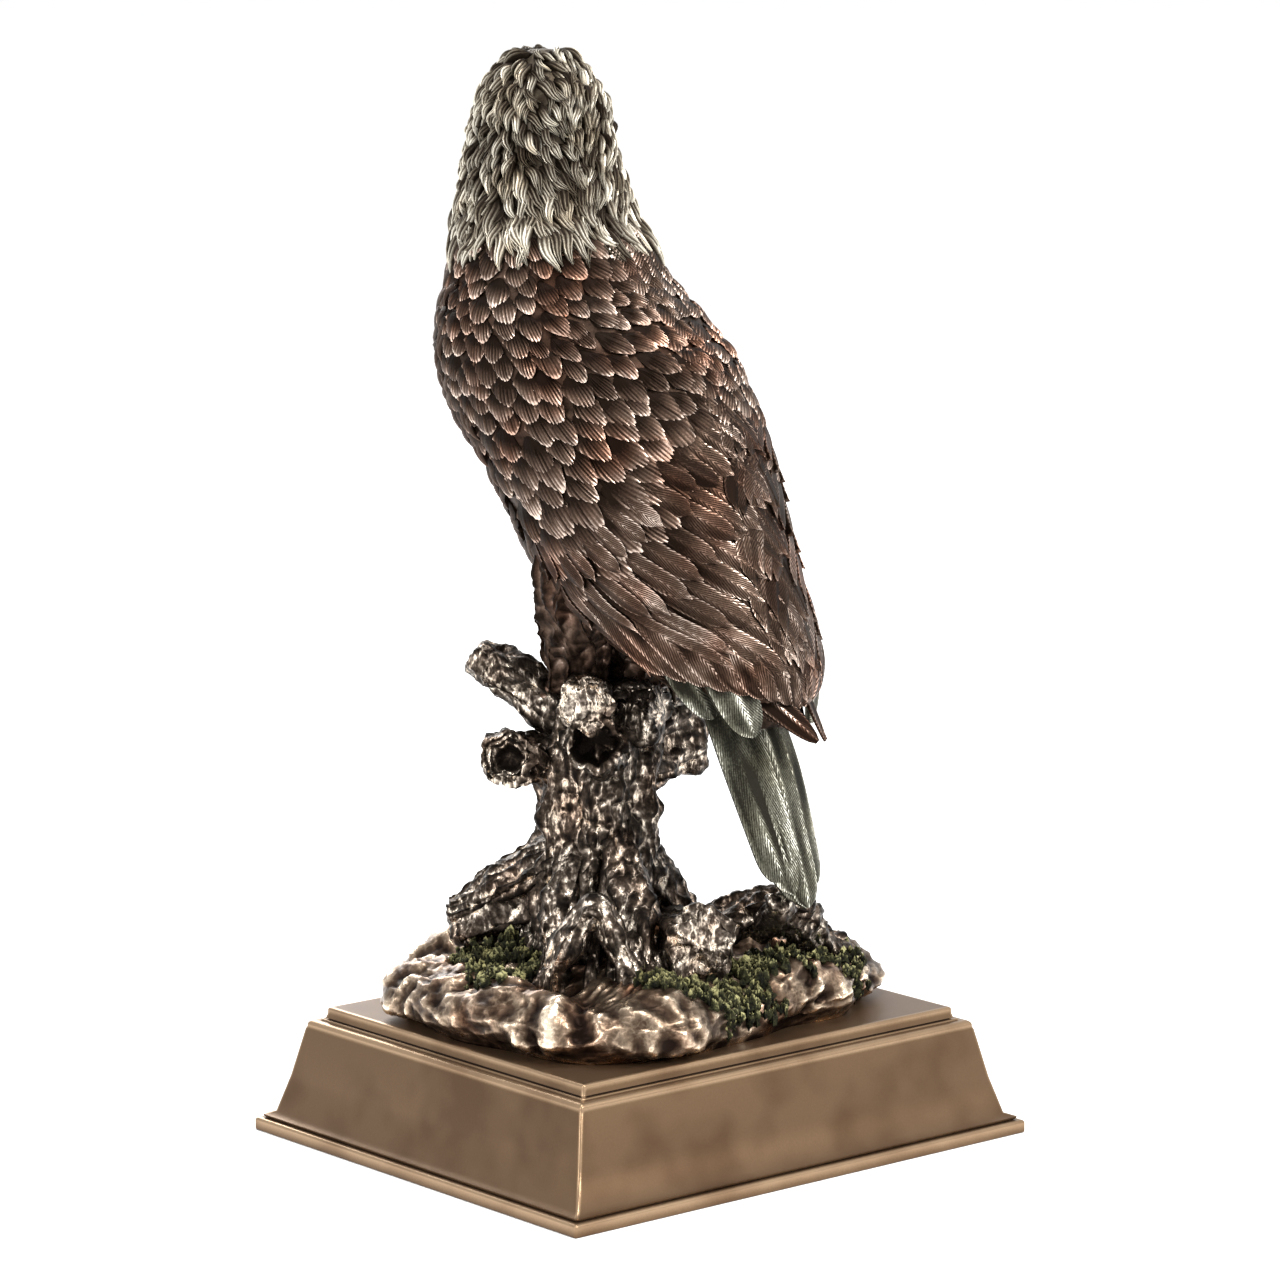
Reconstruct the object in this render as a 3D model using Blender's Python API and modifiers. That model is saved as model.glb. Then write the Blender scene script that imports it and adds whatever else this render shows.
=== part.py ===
"""Eagle sculpture: a perched eagle on a tree stump and rocks, cast as one figure, on a moulded plinth.

The plinth is made in metres. The figure is modelled in units of its own height, one unit being a
millimetre at the height given here, and then fused into one faceted solid.
The eagle faces -Y and the plinth's underside is at Z = 0.
"""

import math

import bmesh
import bpy
import numpy as np
from mathutils import Matrix, Vector, noise

# Plinth
PLINTH_WIDTH = 0.200
PLINTH_DEPTH = 0.174
LIP_HEIGHT = 0.0045
LIP_ROUND = 0.0012
LIP_LEDGE = 0.0022
COVE = 0.0012
DRUM_HEIGHT = 0.0347
DRUM_BATTER = 0.0085
SHOULDER_ROUND = 0.0018
TOP_LEDGE = 0.0028
FILLET = 0.0006
SLAB_HEIGHT = 0.0040
SLAB_FLARE = 0.0004
SLAB_ROUND = 0.0009
CORNER_BEVEL = 0.0007

# Figure
FIGURE_HEIGHT = 0.326
SEAT_GAP = 0.0003
ROCK_MARGIN = 0.0012
UNIT = FIGURE_HEIGHT / 326
BIRD_TURN = math.radians(12)
PERCH = (4.4, -12.0)
HEAD_TURN = math.radians(-34)
FUSE_VOXEL = 1.25 * UNIT
FIGURE_TRIANGLES = 9000

# Heights along the eagle, from the rump up to the crown: height, how far back the middle is,
# half the width and half the depth.
BODY_STATIONS = (
    (104, 66.0, 5.0, 5.0),
    (110, 63.5, 13.0, 12.0),
    (117, 58.5, 20.5, 19.5),
    (125, 52.0, 27.5, 26.0),
    (134, 43.5, 32.5, 31.5),
    (146, 30.5, 37.0, 40.5),
    (153, 26.5, 38.5, 41.5),
    (167, 19.5, 41.0, 43.5),
    (180, 13.5, 42.5, 45.5),
    (193, 6.5, 44.0, 48.5),
    (205, -0.5, 45.0, 51.0),
    (217, -7.0, 45.0, 50.5),
    (224, -9.5, 45.5, 48.5),
    (231, -13.0, 44.0, 43.5),
    (241, -17.5, 41.5, 38.5),
    (250, -21.0, 38.0, 35.5),
    (259, -23.0, 34.0, 33.0),
    (269, -26.0, 30.0, 29.5),
    (285, -27.5, 25.4, 25.4),
    (298, -28.0, 22.6, 23.0),
    (308, -28.0, 20.0, 20.6),
    (316, -28.0, 15.8, 16.4),
    (322, -28.0, 10.0, 10.5),
    (325.5, -28.0, 3.5, 3.5),
)
WING_PROUD = 2.6
SKULL_CENTRE = (0.0, -28.0, 304.5)
SKULL_RADIUS = 20.5


def clear_scene():
    """Starts from an empty scene."""
    for item in list(bpy.data.objects):
        bpy.data.objects.remove(item, do_unlink=True)


def new_collection(name):
    """A collection of its own, linked to the scene."""
    made = bpy.data.collections.new(name)
    bpy.context.scene.collection.children.link(made)
    return made


def material(name, colour, roughness, metallic):
    """A plain Principled material."""
    made = bpy.data.materials.new(name)
    made.use_nodes = True
    shader = made.node_tree.nodes["Principled BSDF"]
    shader.inputs["Base Color"].default_value = (*colour, 1.0)
    shader.inputs["Roughness"].default_value = roughness
    shader.inputs["Metallic"].default_value = metallic
    return made


# Plinth, a rectangle carried up through its mouldings


def plinth_steps():
    """The moulding's profile, bottom to top, as (inset from the lip, height) pairs."""
    quarter = [math.radians(a) for a in (0, 30, 60, 90)]
    steps = [(0.0, LIP_HEIGHT - LIP_ROUND)]
    steps += [
        (LIP_ROUND * (1 - math.cos(a)), LIP_HEIGHT - LIP_ROUND * (1 - math.sin(a)))
        for a in quarter[1:]
    ]
    cove_start = LIP_ROUND + LIP_LEDGE
    steps += [
        (cove_start + COVE * math.sin(a), LIP_HEIGHT + COVE * (1 - math.cos(a)))
        for a in quarter
    ]
    drum_foot = cove_start + COVE
    drum_top = LIP_HEIGHT + DRUM_HEIGHT
    rise = DRUM_HEIGHT - COVE
    shoulder = drum_foot + DRUM_BATTER * (rise - SHOULDER_ROUND) / rise
    steps += [
        (shoulder + SHOULDER_ROUND * (1 - math.cos(a)), drum_top - SHOULDER_ROUND * (1 - math.sin(a)))
        for a in quarter
    ]
    ledge = shoulder + SHOULDER_ROUND + TOP_LEDGE
    steps += [(ledge, drum_top), (ledge, drum_top + FILLET), (ledge + FILLET, drum_top + FILLET)]
    slab_foot = ledge + FILLET
    slab_top = drum_top + FILLET + SLAB_HEIGHT
    slab_side = slab_foot + SLAB_FLARE
    steps += [
        (slab_side + SLAB_ROUND * (1 - math.cos(a)), slab_top - SLAB_ROUND * (1 - math.sin(a)))
        for a in quarter
    ]
    return steps


def make_plinth(home, finish):
    """The lip is a block, and its top face is extruded up through each step of the profile."""
    steps = plinth_steps()
    mesh = bpy.data.meshes.new("plinth")
    bm = bmesh.new()
    bmesh.ops.create_cube(bm, size=1.0)
    bmesh.ops.scale(bm, vec=(PLINTH_WIDTH, PLINTH_DEPTH, steps[0][1]), verts=bm.verts)
    bmesh.ops.translate(bm, vec=(0, 0, steps[0][1] / 2), verts=bm.verts)
    bm.faces.ensure_lookup_table()
    top = max(bm.faces, key=lambda face: face.calc_center_median().z)
    for inset, height in steps[1:]:
        grown = bmesh.ops.extrude_discrete_faces(bm, faces=[top])
        top = grown["faces"][0]
        for vert in top.verts:
            vert.co.x = math.copysign(PLINTH_WIDTH / 2 - inset, vert.co.x)
            vert.co.y = math.copysign(PLINTH_DEPTH / 2 - inset, vert.co.y)
            vert.co.z = height
    corners = [
        edge
        for edge in bm.edges
        if abs(edge.verts[0].co.x) > 0.01
        and edge.verts[0].co.x * edge.verts[1].co.x > 0
        and edge.verts[0].co.y * edge.verts[1].co.y > 0
    ]
    bmesh.ops.bevel(bm, geom=corners, offset=CORNER_BEVEL, segments=2, affect="EDGES", profile=0.5)
    bm.to_mesh(mesh)
    bm.free()
    made = bpy.data.objects.new("plinth", mesh)
    home.objects.link(made)
    mesh.materials.append(finish)
    mesh.shade_smooth()
    mesh.set_sharp_from_angle(angle=math.radians(35))
    return steps[-1][0], steps[-1][1]


# Curves through a few stations


def through(knots, values, at):
    """A smooth curve through the values at the knots: cubic pieces that share their slopes."""
    knots = np.asarray(knots, float)
    values = np.asarray(values, float)
    at = np.clip(np.asarray(at, float), knots[0], knots[-1])
    slopes = np.gradient(values, knots, axis=0)
    left = np.clip(np.searchsorted(knots, at, side="right") - 1, 0, len(knots) - 2)
    span = knots[left + 1] - knots[left]
    t = (at - knots[left]) / span
    if values.ndim > 1:
        span, t = span[..., None], t[..., None]
    start = values[left] * (2 * t**3 - 3 * t**2 + 1) + slopes[left] * span * (t**3 - 2 * t**2 + t)
    end = values[left + 1] * (3 * t**2 - 2 * t**3) + slopes[left + 1] * span * (t**3 - t**2)
    return start + end


def ramp(value, low, high):
    """0 below low, 1 above high, and a smooth rise between."""
    t = np.clip((np.asarray(value, float) - low) / (high - low), 0, 1)
    return t * t * (3 - 2 * t)


# Placing: figure units to metres


def on_plinth(points, ground):
    """Stump units to metres: the figure stands on the plinth's top."""
    return np.asarray(points, float) * UNIT + np.array([0.0, 0.0, ground])


def in_stump(points):
    """The eagle's own axes, left, back and up, turned and set over the perch."""
    points = np.asarray(points, float)
    c, s = math.cos(BIRD_TURN), math.sin(BIRD_TURN)
    x = points[..., 0] * c - points[..., 1] * s + PERCH[0]
    y = points[..., 0] * s + points[..., 1] * c + PERCH[1]
    return np.stack([x, y, points[..., 2]], axis=-1)


def in_eagle(points):
    """The head's axes, whose -Y is the beak's direction, turned on the neck."""
    points = np.asarray(points, float)
    c, s = math.cos(HEAD_TURN), math.sin(HEAD_TURN)
    x = points[..., 0] * c - points[..., 1] * s + SKULL_CENTRE[0]
    y = points[..., 0] * s + points[..., 1] * c + SKULL_CENTRE[1]
    return np.stack([x, y, points[..., 2] + SKULL_CENTRE[2]], axis=-1)


# Solids from rings and sheets


def ring_solid(bm, rings):
    """A loft: rings of equal count joined by faces, with a face closing each end."""
    count = len(rings[0])
    verts = [[bm.verts.new(point) for point in ring] for ring in rings]
    for low, high in zip(verts, verts[1:]):
        for i in range(count):
            j = (i + 1) % count
            bm.faces.new((low[i], low[j], high[j], high[i]))
    bm.faces.new(list(reversed(verts[0])))
    bm.faces.new(verts[-1])


def sheet_solid(bm, outer, inner):
    """A plate between an outer and an inner grid of points."""
    rings = [list(top) + list(under[::-1]) for top, under in zip(outer, inner)]
    ring_solid(bm, rings)


def limb(bm, path, radii, ground, sides=14, flutes=0, depth=0.0, seed=0.0):
    """A branch or root along a path of (x, y, z), with a radius at each point and bark flutes."""
    knots = np.arange(len(path), dtype=float)
    fine = np.linspace(0, len(path) - 1, (len(path) - 1) * 5 + 1)
    line = through(knots, np.array(path, float), fine)
    size = through(knots, np.array(radii, float), fine)
    along = np.gradient(line, axis=0)
    along /= np.linalg.norm(along, axis=1)[:, None]
    side = np.cross(along, (0.31, 0.22, 0.93))
    side /= np.linalg.norm(side, axis=1)[:, None]
    up = np.cross(side, along)
    angle = np.linspace(0, 2 * math.pi, sides, endpoint=False)
    wave = 1 + depth * np.cos(flutes * angle[None, :] + seed + 0.25 * fine[:, None])
    wave += 0.5 * depth * np.cos((flutes + 3) * angle[None, :] - seed)
    reach = size[:, None] * wave
    rings = (
        line[:, None, :]
        + side[:, None, :] * (reach * np.cos(angle))[..., None]
        + up[:, None, :] * (reach * np.sin(angle))[..., None]
    )
    ring_solid(bm, on_plinth(rings, ground))


def lump(bm, centre, size, ground, seed, rough=0.16, turn=0.0):
    """A stone or knob: a ball pulled to three half sizes and roughened by noise."""
    made = bmesh.ops.create_icosphere(bm, subdivisions=3, radius=1.0)["verts"]
    spin = Matrix.Rotation(turn, 3, "Z")
    for vert in made:
        way = vert.co.normalized()
        bump = 1 + rough * noise.noise(way * 1.6 + Vector((seed, 0.7 * seed, 0)))
        shaped = spin @ Vector((way.x * size[0], way.y * size[1], way.z * size[2]))
        place = Vector(centre) + shaped * bump
        vert.co = Vector(on_plinth(tuple(place), ground))


# Rocks and stump


def rock_reach(angle, half_x, half_y):
    """How far the rock spreads at an angle in plan: a rounded rectangle with a few soft bays."""
    c, s = np.abs(np.cos(angle)), np.abs(np.sin(angle))
    power = 3.4
    reach = ((c / half_x) ** power + (s / half_y) ** power) ** (-1 / power)
    bays = 1 - 0.13 * np.exp(-(((angle - 1.85) / 0.33) ** 2)) - 0.10 * np.exp(-(((angle - 2.45) / 0.20) ** 2))
    return reach * bays * (1 + 0.018 * np.cos(7 * angle + 0.6) + 0.012 * np.cos(11 * angle))


def make_rocks(bm, ground, half_x, half_y):
    """A spread of rock with stones round its edge, mounded up to the stump."""
    angle = np.linspace(-math.pi, math.pi, 72, endpoint=False)
    reach = rock_reach(angle, half_x, half_y)
    profile = ((0.95, -3), (0.98, 3), (0.965, 8), (0.91, 12), (0.82, 14), (0.65, 16.5), (0.42, 21), (0.12, 24))
    rings = []
    for share, height in profile:
        swell = height * (1 + 0.14 * np.cos(5 * angle + share * 4) * (height > 0))
        radius = reach * (share + 0.02 * np.cos(9 * angle + 6 * share))
        rings.append(np.stack([radius * np.cos(angle), radius * np.sin(angle), swell], axis=-1))
    ring_solid(bm, on_plinth(rings, ground))
    stones = 17
    for i in range(stones):
        a = -math.pi + 2 * math.pi * (i + 0.35 * math.sin(3.1 * i)) / stones
        far = float(rock_reach(np.array(a), half_x, half_y))
        big = 1 + 0.22 * math.sin(2.3 * i + 0.5)
        inner = far - 14.8 * big
        centre = (inner * math.cos(a), inner * math.sin(a), 5.5 + 2.5 * math.cos(1.7 * i))
        lump(bm, centre, (12.5 * big, 15 * big, 10.5 * big), ground, seed=2.0 * i, rough=0.28, turn=a)
    lump(bm, (-59, 26, 10), (17, 17, 13.5), ground, seed=4.2, rough=0.2, turn=0.5)
    lump(bm, (38, -52, 9), (17, 13, 12.5), ground, seed=7.1, rough=0.22, turn=0.2)


def make_stump(bm, ground):
    """The trunk, its broken branches and knots, and the roots that grip the rocks."""
    foot = ((16, -2, 2), (16, -4, 16), (15, -6, 34), (14, -7, 52))
    neck = ((14, -7, 70), (13, -7, 88), (11, -8, 104), (9, -9, 115))
    limb(bm, foot + neck, (37, 31, 25.5, 22.5, 21, 21, 21, 13), ground, 30, 6, 0.075, 0.7)
    # Branch stubs: the long one to the left, the ringed knot, the sawn stub and the fork to the right
    left_branch = ((19, -11, 98), (29, -22, 107), (37.5, -31, 116), (41, -35, 119.5))
    limb(bm, left_branch, (10.5, 8.6, 7.8, 5.5), ground)
    lump(bm, (38.5, -30, 121.5), (5.2, 5, 4.4), ground, 1.0)
    lump(bm, (41.5, -36.5, 117.5), (5, 5.4, 5.6), ground, 2.0)
    limb(bm, ((20, -8, 86), (34, -14, 90), (45, -18, 92)), (11, 8.6, 7.9), ground)
    lump(bm, (40, -24, 96), (5.5, 5.5, 6.5), ground, 3.0)
    limb(bm, ((14, -4, 98), (24, 6, 100), (30, 13, 100)), (15, 13.6, 12.8), ground, 20, 5, 0.04)
    limb(bm, ((20, 0, 106), (29, 8, 110), (34.5, 13, 111)), (10, 9.8, 9.4), ground, sides=18)
    right_branch = ((10, -8, 84), (-8, -11, 88), (-24, -13, 92), (-33, -14, 93))
    limb(bm, right_branch, (17, 17, 16, 11), ground, 18, 5, 0.06)
    lump(bm, (-14, -14, 105), (17, 12, 10), ground, 6.0)
    limb(bm, ((8, -2, 98), (-2, 10, 101), (-6, 16, 99)), (11, 9.6, 7.6), ground)
    lump(bm, (-8, 15, 93), (6, 6, 7), ground, 5.0)
    # Roots
    roots = (
        (((18, -10, 44), (31, -23, 38), (42, -35, 32), (47, -40, 30)), (13, 10.5, 9, 8.4)),
        (((24, -2, 60), (36, 2, 44), (46, 10, 28), (54, 18, 12)), (8, 7, 6.2, 6.5)),
        (((18, 8, 62), (22, 20, 44), (26, 34, 28), (30, 44, 12)), (8, 7.4, 6.6, 7)),
        (((24, 8, 52), (34, 18, 34), (44, 30, 19), (49, 37, 9)), (9, 7.6, 8.2, 7)),
        (((4, 2, 50), (-6, 10, 34), (-14, 14, 18)), (11, 9.5, 9)),
        (((0, -16, 46), (-14, -28, 28), (-26, -38, 14)), (12, 10, 9)),
        (((20, -24, 40), (24, -40, 24), (26, -52, 12)), (10, 8.5, 8)),
    )
    for path, radii in roots:
        limb(bm, path, radii, ground, flutes=5, depth=0.1)
    # The log end by the stump, and the mossy root that the tail's tip rests on
    limb(bm, ((-4, 14, 20), (5, 32, 27), (11, 44, 31), (12.5, 47, 31)), (12, 11, 10, 7.5), ground, sides=16)
    root = ((-2, 10, 20), (-17, 29, 33), (-26, 43, 40), (-31, 45, 36), (-44, 38, 24), (-56, 34, 16))
    limb(bm, root, (11, 8.5, 7.2, 7.5, 8, 9), ground)
    limb(bm, ((-24, 36, 30), (-18, 50, 38), (-11, 59, 45)), (7, 5.6, 4.4), ground)


# Eagle


def body_shape(height):
    """(how far back the middle is, half width, half depth) at a height on the eagle."""
    table = np.array(BODY_STATIONS, float)
    shape = through(table[:, 0], table[:, 1:], height)
    return shape[..., 0], shape[..., 1], shape[..., 2]


def wing_edge(height):
    """The folded wing's front edge at a height, in radians from the flank towards the back."""
    return np.radians(np.interp(height, (130, 150, 192, 218, 244), (-62, -52, -46, -46, -58)))


def body_point(height, angle, out=0.0):
    """The eagle's coat at a height and an angle from its left flank, moved outwards by out."""
    middle, half_x, half_y = body_shape(height)
    angle = np.asarray(angle, float)
    flank = np.where(np.cos(angle) < 0, math.pi - angle, angle)
    flank = (flank + math.pi) % (2 * math.pi) - math.pi
    over = ramp(flank, wing_edge(height) - 0.07, wing_edge(height) + 0.05)
    proud = WING_PROUD * over * ramp(height, 250, 236)
    x = (half_x + out + proud) * np.cos(angle)
    y = middle + (half_y + out + proud) * np.sin(angle)
    return np.stack([x, y, np.broadcast_to(height, x.shape)], axis=-1)


def flow(angle):
    """How far a feather turns from straight down towards the spine, at an angle on the left wing."""
    return np.radians(np.interp(np.degrees(angle), (-60, -20, 15, 50, 75, 90), (6, 22, 42, 48, 34, 4)))


def coat_feather(bm, ground, height, angle, length, width, lift, mirror, turn=None, across=5, along=6):
    """A feather lying on the coat. Its root is sunk, its tip stands proud and is rounded."""
    v = np.linspace(0, 1, along)
    u = np.linspace(-1, 1, across)
    lean = np.full(along, float(turn)) if turn is not None else None
    heights, angles = [float(height)], [float(angle)]
    for _ in v[1:]:
        step = length / (along - 1)
        way = float(flow(angles[-1])) if lean is None else float(turn)
        here = body_point(heights[-1], angles[-1])
        per_angle = np.linalg.norm(body_point(heights[-1], angles[-1] + 0.02) - here) / 0.02
        per_height = np.linalg.norm(body_point(heights[-1] - 1.0, angles[-1]) - here)
        heights.append(heights[-1] - step * math.cos(way) / per_height)
        angles.append(angles[-1] + step * math.sin(way) / per_angle)
    heights, angles = np.array(heights), np.array(angles)
    lean = flow(angles) if lean is None else lean
    _, half_x, half_y = body_shape(heights)
    girth = 0.5 * (half_x + half_y)
    shape = np.sqrt(np.clip(1 - (2.0 * v - 1.0) ** 4, 0.06, 1)) * (0.72 + 0.28 * v)
    offset = 0.5 * width * shape[:, None] * u[None, :]
    z = heights[:, None] + offset * np.sin(lean)[:, None]
    a = angles[:, None] + offset * np.cos(lean)[:, None] / girth[:, None]
    rise = lift * (-0.6 + 1.6 * v)[:, None] + 0.35 * lift * (1 - u[None, :] ** 2)
    outer = body_point(z, a, rise)
    inner = body_point(z, a, -2.5)
    if mirror:
        outer[..., 0] *= -1
        inner[..., 0] *= -1
    sheet_solid(bm, on_plinth(in_stump(outer), ground), on_plinth(in_stump(inner), ground))


def free_feather(bm, ground, path, width, thick, facing, taper=0.45, across=5, along=8):
    """A long feather along its own path, its face turned to a given direction."""
    knots = np.linspace(0, 1, len(path))
    v = np.linspace(0, 1, along)
    u = np.linspace(-1, 1, across)
    line = through(knots, np.array(path, float), v)
    way = np.gradient(line, axis=0)
    way /= np.linalg.norm(way, axis=1)[:, None]
    facing = np.asarray(facing, float)
    side = np.cross(facing, way)
    side /= np.linalg.norm(side, axis=1)[:, None]
    normal = np.cross(way, side)
    shape = np.clip(1 - np.clip((v - 1 + taper) / taper, 0, 1) ** 2.6, 0.05, 1) ** 0.5
    offset = 0.5 * width * shape[:, None] * u[None, :]
    arch = thick * (0.5 + 0.5 * (1 - u[None, :] ** 2)) * np.clip(shape, 0.45, 1)[:, None]
    middle = line[:, None, :] + side[:, None, :] * offset[..., None]
    outer = middle + normal[:, None, :] * arch[..., None]
    inner = middle - normal[:, None, :] * (0.5 * thick)
    sheet_solid(bm, on_plinth(in_stump(outer), ground), on_plinth(in_stump(inner), ground))


def make_body(bm, ground):
    """Neck, breast, back and folded wings as one loft."""
    low, high = BODY_STATIONS[0][0], BODY_STATIONS[-1][0]
    coarse = (np.linspace(low, 145, 13), np.linspace(149, 310, 38), np.linspace(312.5, high, 7))
    heights = np.concatenate(coarse)
    angle = np.linspace(-math.pi, math.pi, 56, endpoint=False)
    rings = [body_point(np.full_like(angle, h), angle) for h in heights]
    ring_solid(bm, on_plinth(in_stump(np.array(rings)), ground))


def make_wing_feathers(bm, ground):
    """Scale feathers over both shoulders, then longer and longer ones down to the wing tips."""
    rows = np.arange(249, 165, -9.5)
    for row, height in enumerate(rows):
        for column, degrees in enumerate(np.arange(-50, 92, 13.5)):
            angle = math.radians(degrees + 6.7 * (row % 2))
            grow = 1 + 0.18 * (rows[0] - height) / 80
            for mirror in (False, True):
                coat_feather(bm, ground, height + 4, angle, 15 * grow, 11.5 * grow, 1.5, mirror)
    for row, height in enumerate((170, 160, 150)):
        for degrees in np.arange(-48, 84, 20):
            angle = math.radians(degrees + 9 * (row % 2))
            for mirror in (False, True):
                coat_feather(bm, ground, height + 8, angle, 34, 13, 1.8, mirror, along=8)
    for mirror in (1, -1):
        for i in range(6):
            share = i / 5
            root = (mirror * (34 - 16 * share), 26 + 20 * share, 152 - 8 * share)
            mid = (mirror * (28 - 14 * share), 49 + 18 * share, 131 - 6 * share)
            tip = (mirror * (19 - 10.5 * share), 60 + 27 * share, 113 - 11.5 * share)
            facing = (mirror * (0.9 - 0.5 * share), 0.6 + 0.3 * share, 0.35)
            free_feather(bm, ground, (root, mid, tip), 15, 2.6, facing)


def make_tail(bm, ground):
    """A narrow tail of long feathers with two broad coverts over its root."""
    count = 7
    for i in range(count):
        side = (i - (count - 1) / 2) / ((count - 1) / 2)
        stand = 2.2 * (1 - abs(side))
        root = (10.5 * side, 50 + stand, 124)
        mid = (14.0 * side, 66.5 + stand, 92)
        tip = (9.0 * side, 82.5 + 0.6 * stand - 2.0 * abs(side), 44 + 9 * abs(side) ** 1.5)
        facing = (0.42 * side, 0.9, 0.35)
        free_feather(bm, ground, (root, mid, tip), 12.5, 2.8, facing, taper=0.25, along=9)
    for x, back, drop in ((13, 60, 108), (2, 66, 105), (-9, 62, 108)):
        path = ((x, back - 8, drop + 20), (x, back, drop + 4), (x - 1, back + 6.5, drop - 13))
        free_feather(bm, ground, path, 13, 3.4, (0.1, 0.9, 0.4), taper=0.55)


def make_neck_locks(bm, ground):
    """Rows of pointed locks from the crown down to the ruff that ends over the shoulders."""
    for row, (height, count, length, width) in enumerate(
        (
            (319, 7, 12, 7),
            (312, 10, 16, 8),
            (303, 12, 19, 8.5),
            (291, 13, 22, 9),
            (279, 14, 23, 9.5),
            (267, 16, 22, 10),
            (257, 17, 19, 10.5),
        )
    ):
        for i in range(count):
            angle = 2 * math.pi * (i + 0.5 * (row % 2)) / count - math.pi
            turn = 0.12 * math.sin(2.7 * i + row)
            coat_feather(bm, ground, height, angle, length, width, 1.9, False, turn=turn)


def make_breast(bm, ground):
    """Broad soft locks down the breast and belly."""
    for row, height in enumerate(np.arange(246, 160, -12.0)):
        for column in range(5):
            angle = math.radians(-90 + 15.5 * (column - 2) + 7.7 * (row % 2))
            coat_feather(bm, ground, height, angle, 19, 11, 1.6, False, turn=0.0)


def head_ball(bm, ground, centre, size):
    """A ball in the head's axes, pulled to three half sizes."""
    made = bmesh.ops.create_uvsphere(bm, u_segments=24, v_segments=16, radius=1.0)["verts"]
    points = np.array([vert.co for vert in made]) * np.array(size) + np.array(centre)
    for vert, place in zip(made, on_plinth(in_stump(in_eagle(points)), ground)):
        vert.co = place


def make_head(bm, ground):
    """Skull, brows, eyes and the hooked beak, in the head's own axes with the beak towards -Y."""
    head_ball(bm, ground, (0, 0, 0), (SKULL_RADIUS * 0.93, SKULL_RADIUS, SKULL_RADIUS * 0.96))
    head_ball(bm, ground, (0, -9, -1), (15.5, 19, 16.5))
    head_ball(bm, ground, (0, -14, -6), (11.5, 14, 10.5))
    for side in (1, -1):
        head_ball(bm, ground, (side * 11.5, -17, 6.2), (5.2, 9.5, 2.6))
        head_ball(bm, ground, (side * 12.0, -17.5, 1.8), (3.4, 3.6, 3.4))
    t = np.linspace(0, 1, 12)
    ring = np.linspace(0, 2 * math.pi, 14, endpoint=False)
    # Upper bill: its middle line arches forwards and hooks down to a point
    line = through((0, 0.35, 0.7, 1.0), ((0, -21, -1.5), (0, -33, -1.0), (0, -41, -6), (0, -42.5, -14.5)), t)
    tall = through((0, 0.4, 0.8, 1.0), (9.2, 8.2, 4.4, 0.8), t)
    wide = through((0, 0.4, 0.8, 1.0), (7.4, 5.8, 3.0, 0.7), t)
    way = np.gradient(line, axis=0)
    way /= np.linalg.norm(way, axis=1)[:, None]
    up = np.cross((1.0, 0.0, 0.0), way)
    up *= np.sign(up[0, 2])
    rings = (
        line[:, None, :]
        + np.array([1.0, 0, 0]) * (wide[:, None] * np.cos(ring))[..., None]
        + up[:, None, :] * (tall[:, None] * np.sin(ring))[..., None]
    )
    ring_solid(bm, on_plinth(in_stump(in_eagle(rings)), ground))
    # Lower bill
    line = through((0, 1), ((0, -20, -9.5), (0, -34.5, -11.0)), t)
    size = through((0, 0.6, 1), (5.2, 4.2, 1.4), t)
    rings = np.stack(
        [
            line[:, None, 0] + 1.1 * size[:, None] * np.cos(ring),
            np.broadcast_to(line[:, None, 1], (12, 14)),
            line[:, None, 2] + 0.7 * size[:, None] * np.sin(ring),
        ],
        axis=-1,
    )
    ring_solid(bm, on_plinth(in_stump(in_eagle(rings)), ground))


def make_legs(bm, ground):
    """Feathered thighs, short shanks, and feet whose toes and talons grip the perch."""
    for side in (1, -1):
        thigh = ((side * 21, 12, 168), (side * 22, 7, 150), (side * 20.5, 3, 134), (side * 20, 2, 124))
        path = [tuple(in_stump(np.array(p, float))) for p in thigh]
        limb(bm, path, (19, 15.5, 10.5, 7.5), ground, sides=18, flutes=7, depth=0.05)
        foot = np.array((side * 20.0, 1.0, 117.0))
        shank = [tuple(in_stump(p)) for p in (foot + (0, 1, 10), foot)]
        limb(bm, shank, (6.4, 6.0), ground)
        for spread, length in ((-32, 15), (0, 17), (32, 15), (180, 11)):
            a = math.radians(spread - 90)
            way = np.array((math.cos(a), math.sin(a), 0.0))
            toe = [foot, foot + way * 0.55 * length + (0, 0, 1.2), foot + way * length + (0, 0, -1.5)]
            limb(bm, [tuple(in_stump(p)) for p in toe], (4.4, 3.6, 3.2), ground, sides=10)
            bend, point = foot + way * (length + 5), foot + way * (length + 6.5)
            talon = [toe[2], bend + (0, 0, -2.5), point + (0, 0, -8)]
            limb(bm, [tuple(in_stump(p)) for p in talon], (2.6, 1.9, 0.7), ground, sides=8)


# Fusing


def fuse(made, triangles):
    """Joins the overlapping pieces into one skin and brings it down to a number of triangles."""
    remesh = made.modifiers.new("Fuse", "REMESH")
    remesh.mode = "VOXEL"
    remesh.voxel_size = FUSE_VOXEL
    remesh.adaptivity = 0.0
    graph = bpy.context.evaluated_depsgraph_get()
    dense = bpy.data.meshes.new_from_object(made.evaluated_get(graph))
    faces = 2 * len(dense.polygons)
    bpy.data.meshes.remove(dense)
    thin = made.modifiers.new("Facet", "DECIMATE")
    thin.decimate_type = "COLLAPSE"
    thin.ratio = min(1.0, triangles / faces)
    thin.use_collapse_triangulate = True


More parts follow.
